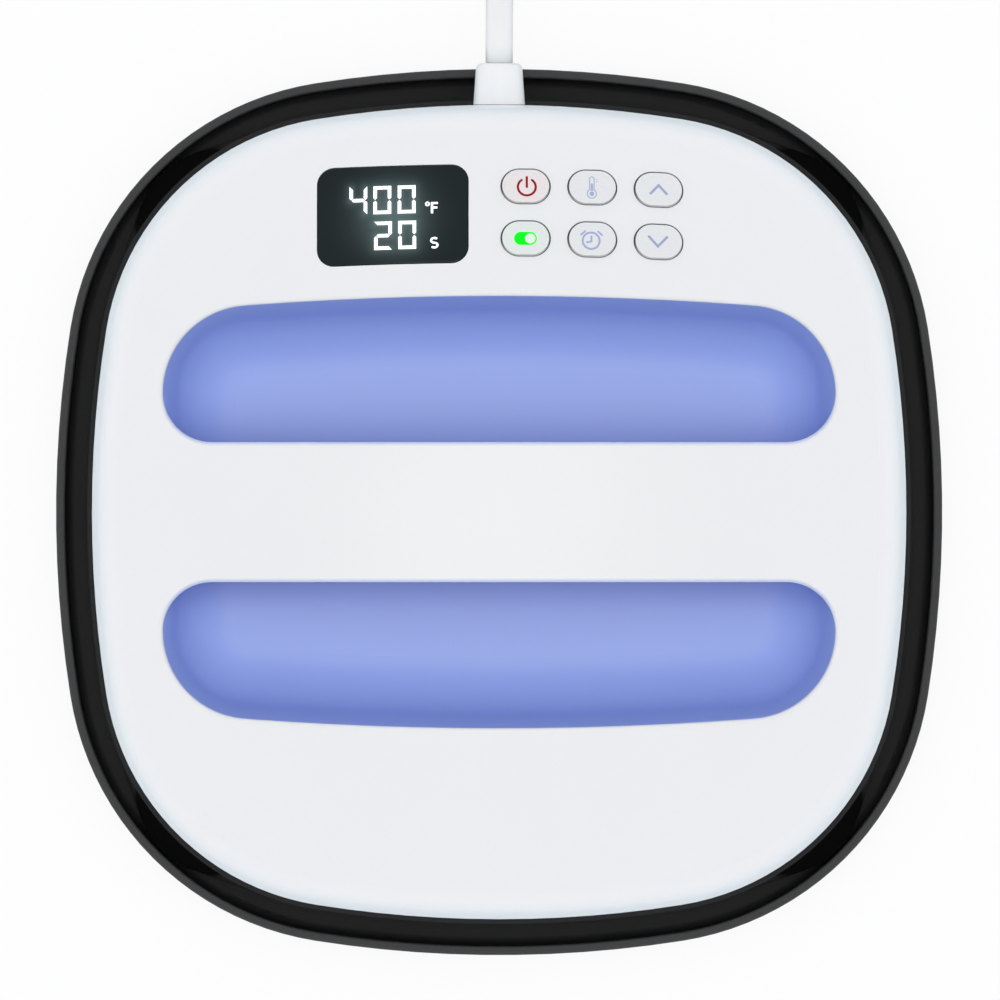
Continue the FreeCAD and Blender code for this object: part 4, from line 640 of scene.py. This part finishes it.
def segment_shapes(figure, x, y):
    """Bars of a seven-segment figure, mitred at its corners and parted half-way up its sides."""
    shapes = []
    for letter in SEGMENTS[figure]:
        first, last, out = bar_line(letter, x, y)
        length = hypot(last[0] - first[0], last[1] - first[1])
        way = ((last[0] - first[0]) / length, (last[1] - first[1]) / length)
        back = (-way[0], -way[1])
        first_end = bar_end(first, way, out, BARS[letter][0][1] != 0)
        last_end = bar_end(last, back, out, BARS[letter][1][1] != 0)
        shapes.append([first_end + last_end[::-1]])
    return shapes


def unit_shapes():
    """The small degree, F and S beside the figures."""
    x, y = 14.6, 2.2
    left, stem, right, arm = x - 1.2, x - 0.4, x + 1.25, x + 1.05
    f = [(left, y - 2.05), (left, y + 2.05), (right, y + 2.05), (right, y + 1.3), (stem, y + 1.3),
         (stem, y + 0.42), (arm, y + 0.42), (arm, y - 0.33), (stem, y - 0.33), (stem, y - 2.05)]
    degree = [circle(12.2, 3.6, 0.85, 20), circle(12.2, 3.6, 0.33, 20)]
    sx, sy = 14.6, -10.5
    upper = arc_line(0, 0.86, 0.86, 35, 270, 16)
    lower = arc_line(0, -0.86, 0.86, 90, -145, 16)[1:]
    s = stroke([(sx + 1.3 * px, sy + py) for px, py in upper + lower], 0.72, rounded=False)
    return [[f], degree, [s]]


def readout_shapes():
    shapes = []
    for figure, x, y in READOUT:
        shapes += segment_shapes(figure, x, y)
    return shapes


def readout_lines():
    return [bar_line(letter, x, y)[:2] for figure, x, y in READOUT for letter in SEGMENTS[figure]]


def distance_to(lines, x, y):
    """Distance from a point to the nearest of the bars' middle lines."""
    best = 1e9
    for (x0, y0), (x1, y1) in lines:
        length = hypot(x1 - x0, y1 - y0)
        along = ((x - x0) * (x1 - x0) + (y - y0) * (y1 - y0)) / length
        along = min(max(along, 0), length)
        nx, ny = x0 + (x1 - x0) * along / length, y0 + (y1 - y0) * along / length
        best = min(best, hypot(x - nx, y - ny))
    return best


def lens_outline(steps=20):
    """Rounded rectangle in millimetres, from the middle of the right side anticlockwise."""
    x = lens_w / MM / 2 - lens_corner_r / MM
    y = lens_h / MM / 2 - lens_corner_r / MM
    r = lens_corner_r / MM
    points = []
    corners = ((x, y, 0), (-x, y, 90), (-x, -y, 180), (x, -y, 270))
    for index, (cx, cy, start) in enumerate(corners):
        points += arc_line(cx, cy, r, start, start + 90, 10)
        nx, ny, next_start = corners[(index + 1) % 4]
        ex, ey = points[-1]
        fx = nx + r * cos(radians(next_start))
        fy = ny + r * sin(radians(next_start))
        points += [(ex + (fx - ex) * i / steps, ey + (fy - ey) * i / steps) for i in range(1, steps)]
    return points


halo_share = 0.42
halo_start = 0.6
halo_fade = 1.2
broad_share = 0.62
broad_y = -0.85
broad_spread = 8.1


def figures_glow(lines, x, y):
    """Share of the figures' light in the window: a halo close to each bar and a broad one."""
    near = halo_share * exp(-max(distance_to(lines, x, y) - halo_start, 0) / halo_fade)
    broad = broad_share * exp(-(x * x + (y - broad_y) ** 2) / (2 * broad_spread ** 2))
    return near + broad


lens_rings = 34
lens_edge = 0.35  # depth of the window's rounded edge
lens_first_drop = 0.12
lens_face_share = 1 - lens_edge / 18  # of the window's size, out to which its face is level
lens_roll_share = 1 - lens_edge / 60  # of the window's size at the first drop


def add_lens(panel):
    """The smoked window, whose face carries the figures' glow as an attribute."""
    outline = lens_outline()
    count = len(outline)
    lines = readout_lines()
    vertices = [panel.point(0, 0, 0)]
    glow = [figures_glow(lines, 0, 0)]
    faces = []
    for ring in range(1, lens_rings + 1):
        share = ring / lens_rings * lens_face_share
        for x, y in outline:
            vertices.append(panel.point(x * share * MM, y * share * MM, 0))
            glow.append(figures_glow(lines, x * share, y * share))
    for height, share in ((-lens_first_drop * MM, lens_roll_share), (-lens_edge * MM, 1.0), (-lens_t, 1.0)):
        for x, y in outline:
            vertices.append(panel.point(x * share * MM, y * share * MM, height))
            glow.append(0.0)
    for side in range(count):
        faces.append((0, 1 + side, 1 + (side + 1) % count))
    for ring in range(lens_rings + 2):
        for side in range(count):
            a = 1 + ring * count + side
            b = 1 + ring * count + (side + 1) % count
            faces.append((a, a + count, b + count, b))
    last = 1 + (lens_rings + 2) * count
    faces.append(tuple(last + count - 1 - side for side in range(count)))
    mesh = mesh_from("display_window", vertices, faces)
    attribute = mesh.attributes.new("glow", "FLOAT", "POINT")
    attribute.data.foreach_set("value", glow)
    lens = add_object("display_window", mesh, finishes["lens_smoke"])
    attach(lens, "press")
    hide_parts("display_lens")


def lens_material():
    material, tree, shader = new_material("lens_smoke")
    broad = mapped_noise(tree, 30.0)
    tree.links.new(mix_colour(tree, broad, (0.0055, 0.0115, 0.0125), (0.0075, 0.0135, 0.0145)),
                   shader.inputs["Base Color"])
    fine = mapped_noise(tree, 900.0)
    tree.links.new(spread_value(tree, fine, 0.13, 0.17), shader.inputs["Roughness"])
    glow = tree.nodes.new("ShaderNodeAttribute")
    glow.attribute_name = "glow"
    tree.links.new(mix_colour(tree, glow.outputs["Fac"], (0, 0, 0), (0.115, 0.165, 0.17)),
                   shader.inputs["Emission Color"])
    shader.inputs["Emission Strength"].default_value = 1.0
    shader.inputs["Specular IOR Level"].default_value = 0.14
    return material


def lit_material(name, colour, strength):
    material, tree, shader = new_material(name)
    grain = mapped_noise(tree, 1200.0)
    mottled = mix_colour(tree, grain, tuple(c * 0.97 for c in colour), colour)
    for socket in ("Base Color", "Emission Color"):
        tree.links.new(mottled, shader.inputs[socket])
    shader.inputs["Emission Strength"].default_value = strength
    shader.inputs["Roughness"].default_value = 0.4
    shader.inputs["Specular IOR Level"].default_value = 0.1
    return material


def add_readout():
    panel = Panel(*display_middle)
    add_lens(panel)
    white = lit_material("figure_white", (0.93, 0.97, 0.96), 0.6)
    shapes = readout_shapes() + unit_shapes()
    stamp("display_figures", shapes, panel, -0.1 * MM, 0.03 * MM, white, "press")


# ---- marks on the keys, printed, each with a painted glow ----

def power_mark():
    x, y = 0.35, -0.38
    ring = stroke(arc_line(x, y, 3.1, 125, 415, 40), 0.8)
    bar = stroke([(x, y + 3.55), (x, y)], 0.8)
    return [[ring], [bar]]


def thermometer_mark():
    x, bulb_y, tube_y = -0.2, -2.5, 2.95
    outer = arc_line(x, bulb_y, 1.78, 122, 418, 24) + arc_line(x, tube_y, 0.94, 0, 180, 12)
    inner = arc_line(x, bulb_y, 1.42, 115, 425, 24) + arc_line(x, tube_y, 0.6, 0, 180, 12)
    column = stroke([(x, bulb_y + 1.35), (x, 0.9)], 0.8)
    ticks = [[stroke([(x + 1.4, y), (x + 1.85, y)], 0.2)] for y in (2.8, 2.0)]
    return [[outer, inner], [circle(x, bulb_y, 0.8, 20)], [column]] + ticks


def chevron_mark(x, half_w, end_y, apex_y):
    return [[stroke([(x - half_w, end_y), (x, apex_y), (x + half_w, end_y)], 0.88, rounded=False)]]


def toggle_marks():
    """The green pill and, apart, its pale knob."""
    y = -0.2
    pill = arc_line(1.48, y, 2.38, -90, 90, 20) + arc_line(-1.7, y, 2.38, 90, 270, 20)
    knob = circle(1.55, y, 1.78)
    return [[pill, knob]], [[knob]]


def clock_mark():
    x, y = -0.45, -0.65
    face = [circle(x, y, 3.3), circle(x, y, 2.6)]
    hands = [stroke([(x + 0.1, y + 1.87), (x + 0.1, y - 0.23), (x - 1.65, y - 0.7)], 0.65, rounded=False)]
    ears = [[stroke([(x + way * 3.65 + 0.15, y + 2.1), (x + way * 2.28 + 0.15, y + 3.4)], 0.62)]
            for way in (-1, 1)]
    return [face, hands] + ears


def add_key_marks():
    panel = Panel(*keys_middle)
    # printed marks, not lamps: the emission gives each a painted glow
    red = lit_material("mark_red", (0.29, 0.005, 0.007), 0.1)
    pale = lit_material("mark_lavender", (0.34, 0.39, 0.60), 0.1)
    blue = lit_material("mark_blue", (0.33, 0.36, 0.56), 0.1)
    green = lit_material("mark_green", (0.0, 0.85, 0.01), 0.6)
    white = lit_material("mark_white", (0.74, 0.82, 0.74), 0.1)
    pill, knob = toggle_marks()
    marks = (
        ("power", -1, 1, power_mark(), red), ("temperature", 0, 1, thermometer_mark(), pale),
        ("up", 1, 1, chevron_mark(0, 3.05, -1.85, 1.45), blue), ("mode", -1, -1, pill, green),
        ("timer", 0, -1, clock_mark(), pale), ("down", 1, -1, chevron_mark(-0.25, 3.4, 1.85, -1.85), blue),
    )
    low, high = key_proud - 0.1 * MM, key_proud + 0.02 * MM
    for name, column, row, shapes, material in marks:
        moved = at_key(shapes, column, row)
        stamp("mark_" + name, moved, panel, low, high, material, "key_" + name)
    stamp("mark_mode_knob", at_key(knob, -1, -1), panel, low, high, white, "key_mode")


def at_key(shapes, column, row):
    x = column * key_pitch_u / MM
    y = row * key_pitch_v / MM / 2
    return [[[(px + x, py + y) for px, py in outline] for outline in group] for group in shapes]


# ---- floor, world and lamp ----
floor_half = 4.0
floor_seen_white = 0.9  # share of plain white in the floor as it is seen
horizon_power = 4.0
overhead_power = 20.0
lamp_place = (0, 0, 1.6)
lamp_width = 0.9
lamp_energy = 4.0


def seen_rays(tree):
    """1 for rays from the camera and for what metal and glass show."""
    path = tree.nodes.new("ShaderNodeLightPath")
    mirrored = calculated(tree, "MAXIMUM", path.outputs["Is Glossy Ray"], path.outputs["Is Transmission Ray"])
    return calculated(tree, "MAXIMUM", path.outputs["Is Camera Ray"], mirrored)


def add_floor():
    corners = [(x * floor_half, y * floor_half, 0) for x, y in ((-1, -1), (1, -1), (1, 1), (-1, 1))]
    mesh = mesh_from("floor", corners, [(0, 1, 2, 3)], smooth=False)
    material = bpy.data.materials.new("floor_white")
    material.use_nodes = True
    tree = material.node_tree
    shader = tree.nodes["Principled BSDF"]
    shader.inputs["Base Color"].default_value = (0.97, 0.97, 0.97, 1)
    shader.inputs["Roughness"].default_value = 0.9
    white = tree.nodes.new("ShaderNodeEmission")
    mix = tree.nodes.new("ShaderNodeMixShader")
    tree.links.new(calculated(tree, "MULTIPLY", seen_rays(tree), floor_seen_white), mix.inputs["Fac"])
    tree.links.new(shader.outputs["BSDF"], mix.inputs[1])
    tree.links.new(white.outputs["Emission"], mix.inputs[2])
    tree.links.new(mix.outputs["Shader"], tree.nodes["Material Output"].inputs["Surface"])
    floor = add_object("floor", mesh, material)


def add_world():
    """White to the camera and in what is mirrored; else a soft dome of light, bluest low down."""
    horizon = (2.4, 2.5, 2.7)
    zenith = (0.41, 0.41, 0.41)
    overhead = (3.0, 3.0, 3.0)
    world = bpy.data.worlds.new("studio")
    bpy.context.scene.world = world
    world.use_nodes = True
    tree = world.node_tree
    tree.nodes.clear()
    output = tree.nodes.new("ShaderNodeOutputWorld")
    seen = tree.nodes.new("ShaderNodeBackground")
    seen.inputs["Color"].default_value = (1, 1, 1, 1)
    lit = tree.nodes.new("ShaderNodeBackground")
    place = tree.nodes.new("ShaderNodeTexCoord")
    split = tree.nodes.new("ShaderNodeSeparateXYZ")
    tree.links.new(place.outputs["Generated"], split.inputs["Vector"])
    lowness = calculated(tree, "SUBTRACT", 1.0, split.outputs["Z"])
    height = calculated(tree, "MAXIMUM", split.outputs["Z"], 0.0)
    band = mix_colour(tree, calculated(tree, "POWER", lowness, horizon_power), zenith, horizon)
    cap = mix_colour(tree, calculated(tree, "POWER", height, overhead_power), (0, 0, 0), overhead)
    both = tree.nodes.new("ShaderNodeVectorMath")
    tree.links.new(band, both.inputs[0])
    tree.links.new(cap, both.inputs[1])
    tree.links.new(both.outputs["Vector"], lit.inputs["Color"])
    mix = tree.nodes.new("ShaderNodeMixShader")
    tree.links.new(seen_rays(tree), mix.inputs["Fac"])
    tree.links.new(lit.outputs["Background"], mix.inputs[1])
    tree.links.new(seen.outputs["Background"], mix.inputs[2])
    tree.links.new(mix.outputs["Shader"], output.inputs["Surface"])


def add_lamp():
    """One broad round lamp straight above, aimed down."""
    data = bpy.data.lights.new("lamp_top", "AREA")
    data.shape = "DISK"
    data.size = lamp_width
    data.energy = lamp_energy
    lamp = bpy.data.objects.new("lamp_top", data)
    lamp.location = lamp_place
    way = -Vector(lamp_place)
    lamp.rotation_euler = way.to_track_quat("-Z", "Y").to_euler()
    bpy.context.scene.collection.objects.link(lamp)


add_camera()
finishes = slot_materials()
dress_nodes(finishes)
add_cord(finishes["cord_white"])
add_readout()
add_key_marks()
add_floor()
add_world()
add_lamp()
bpy.context.scene.view_settings.view_transform = "Standard"
